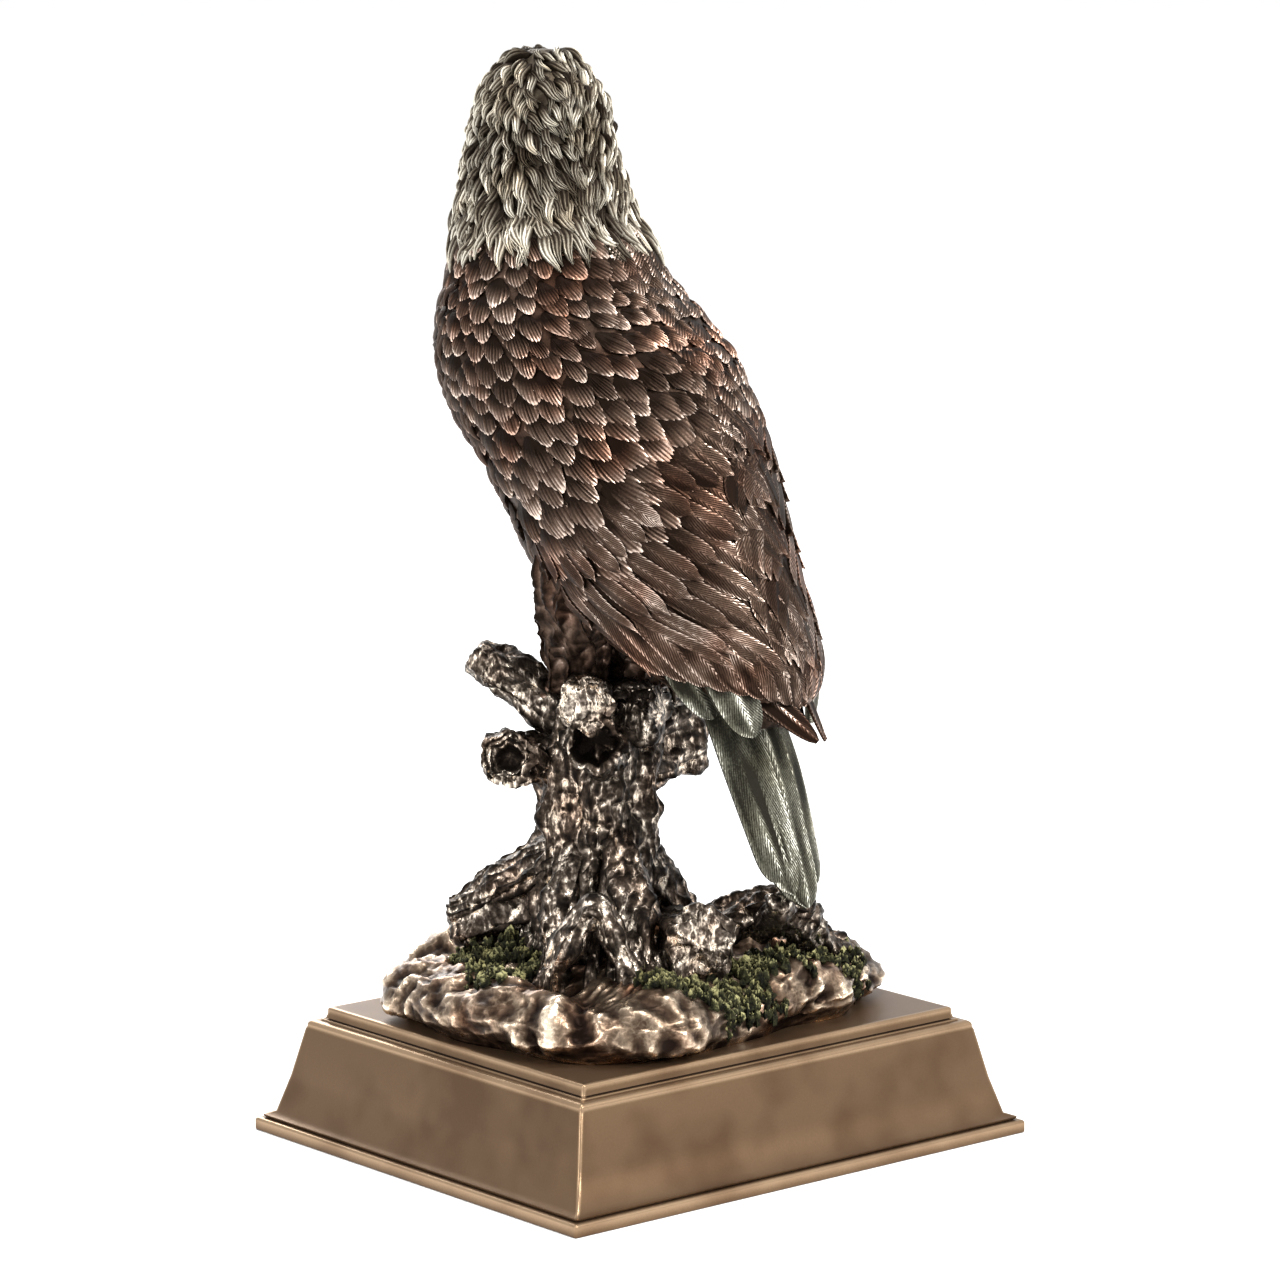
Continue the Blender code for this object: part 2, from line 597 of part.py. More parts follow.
def cut_flat(made, ground, cutters):
    """Cuts the figure's underside off flat, a seat's gap above the plinth."""
    bm = bmesh.new()
    bmesh.ops.create_cube(bm, size=1.0)
    mesh = bpy.data.meshes.new("underside_cutter")
    depth = 0.03
    bmesh.ops.scale(bm, vec=(2 * PLINTH_WIDTH, 2 * PLINTH_DEPTH, depth), verts=bm.verts)
    bmesh.ops.translate(bm, vec=(0, 0, ground + SEAT_GAP - depth / 2), verts=bm.verts)
    bm.to_mesh(mesh)
    bm.free()
    cutter = bpy.data.objects.new("underside_cutter", mesh)
    cutters.objects.link(cutter)
    cutter.hide_render = True
    cutter.display_type = "WIRE"
    cut = made.modifiers.new("Underside", "BOOLEAN")
    cut.operation = "DIFFERENCE"
    cut.solver = "EXACT"
    cut.object = cutter


def make_figure(home, cutters, finish, slab_inset, ground):
    """Everything that is cast in one: rocks, stump and eagle."""
    half_x = (PLINTH_WIDTH / 2 - slab_inset - ROCK_MARGIN) / UNIT
    half_y = (PLINTH_DEPTH / 2 - slab_inset - ROCK_MARGIN) / UNIT
    bm = bmesh.new()
    make_rocks(bm, ground, half_x, half_y)
    make_stump(bm, ground)
    make_body(bm, ground)
    make_wing_feathers(bm, ground)
    make_tail(bm, ground)
    make_neck_locks(bm, ground)
    make_breast(bm, ground)
    make_head(bm, ground)
    make_legs(bm, ground)
    bmesh.ops.recalc_face_normals(bm, faces=bm.faces)
    mesh = bpy.data.meshes.new("eagle_on_stump")
    bm.to_mesh(mesh)
    bm.free()
    made = bpy.data.objects.new("eagle_on_stump", mesh)
    home.objects.link(made)
    mesh.materials.append(finish)
    fuse(made, FIGURE_TRIANGLES)
    cut_flat(made, ground, cutters)


def main():
    clear_scene()
    home = new_collection("eagle_sculpture")
    cutters = new_collection("cutters")
    painted = material("painted_bronze", (0.22, 0.14, 0.085), 0.38, 0.75)
    rubbed = material("rubbed_bronze", (0.16, 0.105, 0.075), 0.42, 0.7)
    slab_inset, slab_top = make_plinth(home, painted)
    make_figure(home, cutters, rubbed, slab_inset, slab_top)


main()
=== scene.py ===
"""Looks of the eagle sculpture: a perched eagle on a stump and rocks, in rubbed bronze, on a moulded plinth.

The figure's points are worked out in units of its own height, in the eagle's own axes where the
eagle is concerned, and placed over the plinth's top just before they go into a mesh.
"""

import math

import bpy
import numpy as np
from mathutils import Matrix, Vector


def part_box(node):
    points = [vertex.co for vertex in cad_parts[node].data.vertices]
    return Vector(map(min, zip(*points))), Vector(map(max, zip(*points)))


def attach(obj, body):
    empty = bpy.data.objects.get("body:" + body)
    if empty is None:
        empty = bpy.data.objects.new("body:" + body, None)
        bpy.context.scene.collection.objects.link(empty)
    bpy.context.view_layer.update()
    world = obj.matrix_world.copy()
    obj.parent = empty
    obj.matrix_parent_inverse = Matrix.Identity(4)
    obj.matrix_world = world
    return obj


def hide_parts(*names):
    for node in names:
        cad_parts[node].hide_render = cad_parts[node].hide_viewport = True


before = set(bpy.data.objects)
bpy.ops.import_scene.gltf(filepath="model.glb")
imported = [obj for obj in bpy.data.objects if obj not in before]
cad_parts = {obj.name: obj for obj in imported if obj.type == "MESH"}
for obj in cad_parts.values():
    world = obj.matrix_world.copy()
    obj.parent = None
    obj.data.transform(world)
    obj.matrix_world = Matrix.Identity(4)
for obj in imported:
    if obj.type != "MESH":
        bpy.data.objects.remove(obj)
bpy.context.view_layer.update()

# The plinth: one moulded block of cast resin under a satin bronze paint, brighter along its edges
# as rubbed paint and painted highlight. The same moulding runs level round all four sides and mitres at the
# corners.

PLINTH_LOW, PLINTH_HIGH = (np.array(corner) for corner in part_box("plinth"))
PLINTH_HALF = 0.5 * (PLINTH_HIGH - PLINTH_LOW)[:2]
SEAT = float(PLINTH_HIGH[2])
LIP = 0.0045
SLAB_HEIGHT = 0.0046
DRUM_TOP = SEAT - SLAB_HEIGHT
SLAB_INSET = 0.0190
CORNER_RADIUS = 0.0007
CORNER_BLEND = 0.0008
PLINTH_DEEP = (0.030, 0.017, 0.010)
PLINTH_SHADE = (0.100, 0.060, 0.035)
PLINTH_BODY = (0.150, 0.094, 0.052)
# The plinth's brightest tone: paint rubbed thin on its edges, with a painted highlight there.
PLINTH_EDGE_HIGHLIGHT = (0.310, 0.212, 0.130)
WOBBLE_SCALE = 330.0
RELIEF_DEPTH = 0.0008
MIRROR_SHARE = 0.12


def arc(middle_inset, middle_height, radius, start, end, steps=6):
    """A quarter moulding as (inset, height) pairs: cosine and sine of the angle times the radius."""
    angle = np.radians(np.linspace(start, end, steps))
    return np.stack([middle_inset - radius * np.cos(angle), middle_height + radius * np.sin(angle)], axis=-1)


def plinth_profile():
    """The moulding from the underside up to the slab's top, and how bright each of its points is painted, as
    rubbed paint and painted highlight on the roundings.
    """
    pieces = (
        (((0.004, 0.0), (0.0006, 0.0)), 0.2),
        (arc(0.0006, 0.0006, 0.0006, -90, 0, 4), 0.5),
        (arc(0.0011, LIP - 0.0011, 0.0011, 0, 90), 1.0),
        (((0.0022, LIP), (0.0031, LIP - 0.0001)), 0.45),
        (arc(0.0033, LIP + 0.0013, 0.0014, -90, -175, 5) * (-1, 1) + (0.0066, 0), 0.42),
        (((0.0052, LIP + 0.0024), (0.0089, 0.50 * DRUM_TOP), (0.0126, DRUM_TOP - 0.0030)), 0.42),
        (arc(0.0148, DRUM_TOP - 0.0018, 0.0018, -12, 90, 7), 0.95),
        (((0.0158, DRUM_TOP), (0.0164, DRUM_TOP)), 0.35),
        (arc(0.0169, DRUM_TOP + 0.0001, 0.0005, 0, 90, 4), 0.75),
        (((0.0172, DRUM_TOP + 0.0005), (0.0181, DRUM_TOP + 0.0004), (0.0182, DRUM_TOP + 0.0009)), 0.0),
        (((0.0176, DRUM_TOP + 0.0010), (0.0180, DRUM_TOP + 0.0022)), 0.5),
        (arc(SLAB_INSET, SEAT - 0.0009, 0.0009, 0, 90, 6), 0.95),
        (((SLAB_INSET + 0.0012, SEAT), (SLAB_INSET + 0.006, SEAT), (SLAB_INSET + 0.02, SEAT)), 0.35),
    )
    points = np.concatenate([np.array(run, float) for run, _ in pieces])
    rub_and_highlight = np.concatenate([np.full(len(run), rub_and_painted_light) for run, rub_and_painted_light in pieces])
    return points, rub_and_highlight


def outline(inset, spots=28, turn_steps=5):
    """A rectangle with rounded corners, inset from the lip: each quarter circle, then a side's points."""
    half = PLINTH_HALF - inset
    radius = CORNER_RADIUS
    ring, corner = [], []
    for quarter in range(4):
        sign = np.array(((1, 1), (-1, 1), (-1, -1), (1, -1))[quarter])
        angle = np.radians(np.linspace(0, 90, turn_steps) + 90 * quarter)
        centre = sign * (half - radius)
        bend = centre + radius * np.stack([np.cos(angle), np.sin(angle)], axis=-1)
        after = np.array(((-1, 1), (-1, -1), (1, -1), (1, 1))[quarter]) * (half - radius)
        reach = after - centre
        ends = CORNER_BLEND / np.linalg.norm(reach)
        straight = bend[-1] + np.linspace(ends, 1 - ends, spots)[:, None] * reach
        ring += [bend, straight]
        corner += [np.ones(turn_steps), np.zeros(spots)]
    return np.concatenate(ring), np.concatenate(corner)


def make_mesh(name, lofts, material):
    """One piece from lofts. A loft's rings[n, i, j] is point j of ring i of body n.

    Its marks match: the rub, with its painted light and shade, alone, or the rub and the barb, which counts
    the barbs passed so far.
    Neighbouring rings are joined by four-sided faces, and each body's first and last ring is capped.
    """
    points, values, corners, starts = [], [], [], []
    base, corner_count = 0, 0
    for rings, marks in lofts:
        if marks.ndim == 3:
            marks = np.stack([marks, np.zeros_like(marks)], axis=-1)
        rings, marks = outwards(rings, marks)
        bodies, rows, around, _ = rings.shape
        index = base + np.arange(bodies * rows * around).reshape(bodies, rows, around)
        beside = np.roll(index, -1, axis=2)
        quads = np.stack([index[:, :-1], beside[:, :-1], beside[:, 1:], index[:, 1:]], axis=-1)
        caps = np.concatenate([index[:, 0, ::-1], index[:, -1]])
        corners += [quads.ravel(), caps.ravel()]
        starts.append(corner_count + 4 * np.arange(quads.size // 4))
        corner_count += quads.size
        starts.append(corner_count + around * np.arange(len(caps)))
        corner_count += caps.size
        points.append(rings.reshape(-1, 3))
        values.append(marks.reshape(-1, 2))
        base += bodies * rows * around
    mesh = bpy.data.meshes.new(name)
    mesh.vertices.add(base)
    mesh.vertices.foreach_set("co", np.concatenate(points).ravel())
    mesh.loops.add(corner_count)
    mesh.loops.foreach_set("vertex_index", np.concatenate(corners).astype(np.int32))
    starts = np.concatenate(starts).astype(np.int32)
    mesh.polygons.add(len(starts))
    mesh.polygons.foreach_set("loop_start", starts)
    mesh.update(calc_edges=True)
    for mark, column in zip(("rub_and_painted_light", "barb"), np.concatenate(values).T):
        attribute = mesh.attributes.new(mark, "FLOAT", "POINT")
        attribute.data.foreach_set("value", np.ascontiguousarray(column))
    mesh.shade_smooth()
    mesh.set_sharp_from_angle(angle=math.radians(58))
    mesh.materials.append(material)
    piece = bpy.data.objects.new(name, mesh)
    bpy.context.scene.collection.objects.link(piece)
    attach(piece, "root")
    return piece


def outwards(rings, marks):
    """Reverses the rings of each body whose faces, as steps round times steps along, point inwards."""
    offset = rings - rings.mean(axis=(1, 2), keepdims=True)
    face = np.cross(np.roll(offset, -1, axis=2) - offset, np.roll(offset, -1, axis=1) - offset)
    inward = (face * offset)[:, :-1].sum(axis=(1, 2, 3)) < 0
    rings = rings.copy()
    marks = np.broadcast_to(marks, (*rings.shape[:3], 2)).copy()
    rings[inward] = rings[inward][:, :, ::-1]
    marks[inward] = marks[inward][:, :, ::-1]
    return rings, marks


def noise_node(tree, scale, detail, rough=0.5, upright=1.0):
    """A noise texture on the piece's own coordinates, drawn out along their Z where upright is under 1."""
    node = tree.nodes.new("ShaderNodeTexNoise")
    node.inputs["Scale"].default_value = scale
    node.inputs["Detail"].default_value = detail
    node.inputs["Roughness"].default_value = rough
    place = tree.nodes.new("ShaderNodeTexCoord")
    drawn = tree.nodes.new("ShaderNodeVectorMath")
    drawn.operation = "MULTIPLY"
    drawn.inputs[1].default_value = (1.0, 1.0, upright)
    tree.links.new(place.outputs["Object"], drawn.inputs[0])
    tree.links.new(drawn.outputs["Vector"], node.inputs["Vector"])
    return node.outputs["Fac"]


def math_node(tree, kind, first, second):
    """One sum, product or other operation of two values, each a socket or a number."""
    node = tree.nodes.new("ShaderNodeMath")
    node.operation = kind
    for socket, value in zip(node.inputs, (first, second)):
        if isinstance(value, (int, float)):
            socket.default_value = value
        else:
            tree.links.new(value, socket)
    return node.outputs["Value"]


def span_node(tree, value, source, target):
    """Carries one range of a value over to another, held at both ends."""
    node = tree.nodes.new("ShaderNodeMapRange")
    tree.links.new(value, node.inputs["Value"])
    ends = (("From Min", source[0]), ("From Max", source[1]), ("To Min", target[0]), ("To Max", target[1]))
    for socket, end in ends:
        node.inputs[socket].default_value = end
    return node.outputs["Result"]


def rubbed_paint(
    name, colours, stain, stain_share, grain, cloud, gloss, metal,
    bump=0.12, grain_share=0.35, veins=0.0, upright=1.0,
):
    """Bronze paint that is dark in the hollows and rubbed bright on the ridges.

    The colour comes from a ramp of (position, colour) stops, at the rub, with its painted light and
    shade, plus fine grain, thin veins where a noise crosses its middle, and a sine wave of the barb
    attribute on feathers. A cloud of stain is mixed in, and gloss and metal go from one end of their
    span to the other with the rub.
    """
    made = bpy.data.materials.new(name)
    made.use_nodes = True
    tree = made.node_tree
    shader = tree.nodes["Principled BSDF"]
    rub_and_painted_light, barb = (tree.nodes.new("ShaderNodeAttribute") for _ in range(2))
    rub_and_painted_light.attribute_name, barb.attribute_name = "rub_and_painted_light", "barb"
    rub_and_painted_light, barb = rub_and_painted_light.outputs["Fac"], barb.outputs["Fac"]

    wobble = noise_node(tree, WOBBLE_SCALE, 2.0)
    turn = math_node(tree, "MULTIPLY", math_node(tree, "ADD", barb, wobble), 2 * math.pi)
    strength = math_node(tree, "MULTIPLY", rub_and_painted_light, span_node(tree, wobble, (0.35, 0.65), (0.2, 0.75)))
    has_barbs = math_node(tree, "MINIMUM", math_node(tree, "ABSOLUTE", barb, 0.0), 1.0)
    wave = math_node(tree, "SINE", turn, 0.0)
    wave = math_node(tree, "MULTIPLY", wave, math_node(tree, "MULTIPLY", strength, has_barbs))

    fine = noise_node(tree, grain, 4.0, 0.62)
    grainy = math_node(tree, "MULTIPLY", math_node(tree, "SUBTRACT", fine, 0.5), grain_share)
    middle = math_node(tree, "SUBTRACT", noise_node(tree, 0.45 * grain, 3.0, 0.55, upright), 0.5)
    middle = math_node(tree, "ABSOLUTE", middle, 0.0)
    vein = math_node(tree, "MULTIPLY", span_node(tree, middle, (0.0, 0.07), (veins, -0.3 * veins)), rub_and_painted_light)
    shown = math_node(tree, "ADD", rub_and_painted_light, math_node(tree, "ADD", math_node(tree, "ADD", grainy, vein), wave))

    tones = tree.nodes.new("ShaderNodeValToRGB")
    stops = tones.color_ramp.elements
    while len(stops) < len(colours):
        stops.new(0.5)
    for stop, (position, colour) in zip(stops, colours):
        stop.position = position
        stop.color = (*colour, 1.0)
    tree.links.new(shown, tones.inputs["Fac"])
    mix = tree.nodes.new("ShaderNodeMix")
    mix.data_type = "RGBA"
    mix.blend_type = "MULTIPLY"
    clouds = span_node(tree, noise_node(tree, cloud, 2.0), (0.45, 0.68), (0.0, stain_share))
    tree.links.new(clouds, mix.inputs["Factor"])
    tree.links.new(tones.outputs["Color"], mix.inputs["A"])
    mix.inputs["B"].default_value = (*stain, 1.0)

    relief = tree.nodes.new("ShaderNodeBump")
    relief.inputs["Strength"].default_value = bump
    relief.inputs["Distance"].default_value = RELIEF_DEPTH
    tree.links.new(math_node(tree, "ADD", fine, math_node(tree, "ADD", wave, vein)), relief.inputs["Height"])
    tree.links.new(mix.outputs["Result"], shader.inputs["Base Color"])
    tree.links.new(span_node(tree, shown, (0.15, 0.8), gloss), shader.inputs["Roughness"])
    tree.links.new(span_node(tree, shown, (0.1, 0.7), metal), shader.inputs["Metallic"])
    tree.links.new(relief.outputs["Normal"], shader.inputs["Normal"])
    shader.inputs["Specular IOR Level"].default_value = MIRROR_SHARE
    return made


profile, profile_rub_and_highlight = plinth_profile()
rings, ring_rub_and_highlight = [], []
for (inset, height), rub_and_painted_light in zip(profile, profile_rub_and_highlight):
    flat, corner = outline(inset)
    rings.append(np.column_stack([flat, np.full(len(flat), height)]))
    # The upright corners get a painted highlight, as bright as the roundings.
    on_side = LIP + 0.001 < height < SEAT - 0.0005
    ring_rub_and_highlight.append(np.maximum(rub_and_painted_light, corner * (0.95 if on_side else rub_and_painted_light)))
satin_bronze = rubbed_paint(
    "satin_bronze",
    ((0.0, PLINTH_DEEP), (0.25, PLINTH_SHADE), (0.60, PLINTH_BODY), (1.0, PLINTH_EDGE_HIGHLIGHT)),
    stain=(0.62, 0.56, 0.52),
    stain_share=0.75,
    grain=1300.0,
    cloud=38.0,
    gloss=(0.42, 0.30),
    metal=(0.55, 0.85),
    bump=0.05,
    grain_share=0.22,
)
plinth_loft = (np.array(rings)[None], np.array(ring_rub_and_highlight)[None])
plinth_piece = make_mesh("moulded_plinth", [plinth_loft], satin_bronze)
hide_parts("plinth")

# The rocks: the foot of the one-piece casting, a low mound of weathered stone whose ridges are
# rubbed to bright bronze. It covers the plinth's slab almost to the edge and is cut flat below.

FIGURE_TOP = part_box("eagle_on_stump")[1][2]
FIGURE_UNITS = 325.6
UNIT = float(FIGURE_TOP - SEAT) / FIGURE_UNITS
ROCK_MARGIN = 0.0012
ROCK_HALF = (PLINTH_HALF - SLAB_INSET - ROCK_MARGIN) / UNIT
STONES = 17
BARE_FACET = (0.0, 62.0, 8.0)
TABLE_SIZE = 4096
MIXERS = (73856093, 19349663, 83492791)
ROCK_DEEP = (0.010, 0.005, 0.003)
ROCK_SHADE = (0.055, 0.035, 0.023)
ROCK_BODY = (0.150, 0.109, 0.076)
ROCK_LIGHT = (0.36, 0.27, 0.195)
ROCK_BRIGHT = (0.88, 0.75, 0.58)


def through(knots, values, at):
    """A smooth curve through the values at the knots: cubic pieces that share their slopes."""
    knots, values = np.asarray(knots, float), np.asarray(values, float)
    at = np.clip(np.asarray(at, float), knots[0], knots[-1])
    slopes = np.gradient(values, knots, axis=0)
    left = np.clip(np.searchsorted(knots, at, side="right") - 1, 0, len(knots) - 2)
    span = knots[left + 1] - knots[left]
    t = (at - knots[left]) / span
    if values.ndim > 1:
        span, t = span[..., None], t[..., None]
    start = values[left] * (2 * t**3 - 3 * t**2 + 1) + slopes[left] * span * (t**3 - 2 * t**2 + t)
    return start + values[left + 1] * (3 * t**2 - 2 * t**3) + slopes[left + 1] * span * (t**3 - t**2)


def ramp(value, low, high):
    """0 below low, 1 above high, and a smooth rise between."""
    t = np.clip((np.asarray(value, float) - low) / (high - low), 0, 1)
    return t * t * (3 - 2 * t)


def soft_noise(points, size, seed=0):
    """Noise from 0 to 1: a random value at each corner of a lattice, blended by smooth steps.

    Each corner's whole numbers times three large primes give its place in a table of random values.
    """
    table = np.random.default_rng(seed).random(TABLE_SIZE)
    cell = np.asarray(points, float) / size
    low = np.floor(cell).astype(np.int64)
    t = cell - low
    t = t * t * (3 - 2 * t)
    total = 0.0
    for corner in range(8):
        bits = np.array([corner & 1, corner >> 1 & 1, corner >> 2 & 1])
        key = np.bitwise_xor.reduce((low + bits) * MIXERS, axis=-1) % TABLE_SIZE
        total = total + table[key] * np.prod(np.where(bits, t, 1 - t), axis=-1)
    return total


def crests(points, size, octaves=3, seed=0):
    """Thin crests: one less the distance of noise from its middle, summed over halving sizes."""
    total, weight = 0.0, 0.0
    for octave in range(octaves):
        share = 0.5**octave
        total = total + share * (1 - 2 * np.abs(soft_noise(points, size * share, seed + octave) - 0.5))
        weight += share
    return total / weight


def grid_normals(grid):
    """Unit normals of a grid closed round its second axis: the cross product of its steps both ways."""
    around = np.roll(grid, -1, axis=-2) - np.roll(grid, 1, axis=-2)
    along = np.gradient(grid, axis=-3)
    normal = np.cross(around, along)
    return normal / (np.linalg.norm(normal, axis=-1, keepdims=True) + 1e-9)


def hollow_or_crest(height, reach):
    """How far a height stands over its neighbours' mean, on a grid closed round its second axis."""
    mean = height
    for _ in range(reach):
        mean = (mean + np.roll(mean, 1, axis=-1) + np.roll(mean, -1, axis=-1)) / 3
        mean = (mean + np.roll(mean, 1, axis=-2) + np.roll(mean, -1, axis=-2)) / 3
    return height - mean


def worn(relief, reach, middle=0.42, spread=0.21):
    """Rub from relief: its stand over its neighbours, measured in its own standard deviations."""
    stand = hollow_or_crest(relief, reach)
    return middle + spread * stand / stand.std()


def gnarled(points, size, seed):
    """Molten-looking relief in millimetres: warped crests of three sizes, the finer the lower."""
    warp = [soft_noise(points, size * 1.4, seed + i) - 0.5 for i in (40, 41, 42)]
    bent = points + size * 0.9 * np.stack(warp, axis=-1)
    broad = crests(bent, size, 1, seed) - 0.5
    middle = crests(bent, 0.5 * size, 1, seed + 1) - 0.5
    fine = crests(bent, 0.27 * size, 1, seed + 2) - 0.5
    return 0.30 * size * broad + 0.20 * size * middle + 0.10 * size * fine


def on_seat(points):
    """Figure units to metres, standing on the plinth's slab."""
    return np.asarray(points, float) * UNIT + np.array([0.0, 0.0, SEAT])


def rock_reach(angle):
    """How far the rocks spread at an angle in plan: a rounded rectangle with a few soft bays."""
    c, s = np.abs(np.cos(angle)), np.abs(np.sin(angle))
    reach = ((c / ROCK_HALF[0]) ** 3.4 + (s / ROCK_HALF[1]) ** 3.4) ** (-1 / 3.4)
    bays = 1 - 0.13 * np.exp(-(((angle - 1.85) / 0.33) ** 2)) - 0.10 * np.exp(-(((angle - 2.45) / 0.20) ** 2))
    return reach * bays * (1 + 0.018 * np.cos(7 * angle + 0.6) + 0.012 * np.cos(11 * angle))


def rock_grid(rows=135, around=380):
    """The rocks as rings from the foot, out and over the rim, and in to the stump.

    The rim is scalloped by stones, each a bell curve in angle, and swells of noise lie over all.
    """
    angle = np.linspace(-math.pi, math.pi, around, endpoint=False)[None, :]
    share = np.linspace(0, 1, rows)[:, None]
    knots = (0, 0.05, 0.13, 0.24, 0.40, 0.60, 0.80, 1.0)
    spread = through(knots, (0.955, 0.985, 0.975, 0.92, 0.80, 0.58, 0.34, 0.10), share)
    height = through(knots, (0.1, 5.0, 10.5, 13.8, 15.0, 17.0, 21.0, 24.0), share)
    bulge = 0.0
    for i in range(STONES):
        middle = -math.pi + 2 * math.pi * (i + 0.35 * math.sin(3.1 * i)) / STONES
        apart = (angle - middle + math.pi) % (2 * math.pi) - math.pi
        bulge = bulge + (1 + 0.22 * math.sin(2.3 * i + 0.5)) * np.exp(-((apart / 0.15) ** 2))
    reach = rock_reach(angle) * (0.985 + 0.045 * (bulge - 0.6) * ramp(share, 0.0, 0.06))
    height = height + 4.2 * (bulge - 0.5) * np.exp(-(((spread - 0.86) / 0.13) ** 2)) * ramp(share, 0.02, 0.2)
    radius = reach * spread
    grid = np.stack([radius * np.cos(angle), radius * np.sin(angle), height], axis=-1)
    swell = 7.5 * (soft_noise(grid, 18, 5) - 0.5) + 0.9 * gnarled(grid * (1, 1, 1.6), 18, 9)
    split = 0.55 * gnarled(grid * (1, 1, 2.4), 8.5, 21)
    away = np.linalg.norm(grid - BARE_FACET, axis=-1)
    lift = (swell + split) * ramp(share, 0.0, 0.07) * (0.12 + 0.88 * ramp(away, 8, 14))
    grid = grid + grid_normals(grid) * lift[..., None]
    grid[..., 2] = np.where(share > 0, np.maximum(grid[..., 2], 0.1), 0.1)
    return grid, worn(swell + split, 9, 0.43, 0.17)


rocks, rock_rub = rock_grid()
rubbed_stone = rubbed_paint(
    "rubbed_stone",
    ((0.08, ROCK_DEEP), (0.34, ROCK_SHADE), (0.49, ROCK_BODY), (0.67, ROCK_LIGHT), (0.92, ROCK_BRIGHT)),
    stain=(0.50, 0.33, 0.26),
    stain_share=0.9,
    grain=420.0,
    cloud=55.0,
    gloss=(0.46, 0.24),
    metal=(0.75, 1.0),
    bump=0.2,
    grain_share=0.3,
    veins=0.22,
)
rock_piece = make_mesh("rocks", [(on_seat(rocks)[None], rock_rub[None])], rubbed_stone)
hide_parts("eagle_on_stump")

# The stump: a gnarled trunk with torn branches, a sawn stub, a ringed knot and gripping roots,
# cast with the rocks. Its bark is near black, and the crests are rubbed to pale gold.

STUMP_DEEP = (0.006, 0.004, 0.003)
STUMP_SHADE = (0.026, 0.019, 0.014)
STUMP_BODY = (0.062, 0.048, 0.037)
STUMP_LIGHT = (0.15, 0.122, 0.10)
STUMP_BRIGHT = (0.84, 0.73, 0.60)
FIBRE = 0.42
LONG_FIBRE = 0.15
# Each end is a run of rings: share of the radius, step forwards, and how much brighter than bark.
SAWN_END = (
    (1.02, 0.3, 0), (1.0, 1.3, 0.14), (0.94, 1.9, 0.14), (0.86, 1.3, 0.14), (0.66, 1.2, 0.14),
    (0.44, 1.5, 0.14), (0.22, 1.2, 0.14), (0.04, 1.3, 0.14),
)
TORN_END = (
    (0.98, 0.8, 0), (0.92, 2.0, 0.06), (0.80, 2.9, 0.06), (0.62, 3.4, 0.06), (0.42, 3.2, 0.06),
    (0.22, 3.6, 0.06), (0.05, 3.4, 0.06),
)
RINGED_END = (
    (1.04, 0.8, 0.1), (1.0, 1.8, 0.2), (0.90, 1.9, 0.1), (0.84, 0.9, -0.2), (0.77, 1.6, 0.12),
    (0.70, 1.5, 0.1), (0.62, 0.4, -0.2), (0.53, 1.0, 0.12), (0.44, 0.6, 0), (0.34, -1.6, -0.25),
    (0.20, -3.2, -0.3), (0.04, -3.6, -0.3),
)
HOLLOW_END = (
    (1.05, 0.6, 0), (1.02, 1.7, 0.06), (0.90, 2.2, 0.06), (0.74, 1.4, 0.06), (0.64, -1.0, -0.5),
    (0.56, -4.5, -0.5), (0.40, -6.5, -0.5), (0.05, -7.0, -0.5),
)


def barked(path, radii, sides, rows, seed, flutes, depth, rough=1.0, end=TORN_END, phase=0.0, fibre=FIBRE):
    """A limb of wood: a circle carried along a smooth path, with flutes, bark crests and an end.

    Its radius is the stated one times one plus two cosines of the angle round, and bark is noise
    stretched along the limb. The end's rings shrink by a share of the radius and step forwards.
    """
    knots = np.arange(len(path), dtype=float)
    fine = np.linspace(0, len(path) - 1, rows)
    line, size = through(knots, path, fine), through(knots, radii, fine)
    tip = line[-1] - line[-2]
    tip = tip / np.linalg.norm(tip)
    shares, steps, brighter = np.array(end).T
    distance = np.concatenate([[0], np.cumsum(np.linalg.norm(np.diff(line, axis=0), axis=1))])
    distance = np.concatenate([distance, distance[-1] + 2.5 * np.arange(1, len(steps) + 1)])
    line = np.concatenate([line, line[-1] + steps[:, None] * tip])
    size = np.concatenate([size, size[-1] * shares])[:, None]
    along = np.gradient(line, axis=0)
    along[rows - 1 :] = tip
    along /= np.linalg.norm(along, axis=1)[:, None]
    side = np.cross(along, (0.31, 0.22, 0.93))
    side /= np.linalg.norm(side, axis=1)[:, None]
    other = np.cross(side, along)
    fine = np.concatenate([fine, np.full(len(steps), fine[-1])])[:, None]
    angle = np.linspace(0, 2 * math.pi, sides, endpoint=False)[None, :]
    wave = 1 + depth * np.cos(flutes * angle + phase + 1.25 * fine)
    wave = wave + 0.5 * depth * np.cos((flutes + 3) * angle - phase)
    across, over = np.cos(angle)[..., None], np.sin(angle)[..., None]
    grid = line[:, None] + (size * wave)[..., None] * (side[:, None] * across + other[:, None] * over)
    drawn = np.broadcast_to(fibre * distance[:, None], wave.shape)
    wood = np.stack([size * np.cos(angle), size * np.sin(angle), drawn], axis=-1)
    knobs = 4.6 * (soft_noise(grid, 10, seed) - 0.5) + gnarled(grid, 6.5, seed)
    bark = gnarled(wood + 7.0 * seed, 5.2, seed + 3) * (FIBRE / fibre) ** 0.5
    hold = np.clip(size / 7, 0.10, 1) * rough
    grid = grid + grid_normals(grid) * ((knobs + bark) * hold)[..., None]
    rub_and_painted_light = worn(knobs + bark, 3)
    if end is SAWN_END:
        rub_and_painted_light[rows + 2 :] = 0.40 + 0.55 * (rub_and_painted_light[rows + 2 :] - 0.42)
    rub_and_painted_light[rows:] += brighter[:, None]
    return grid, rub_and_painted_light


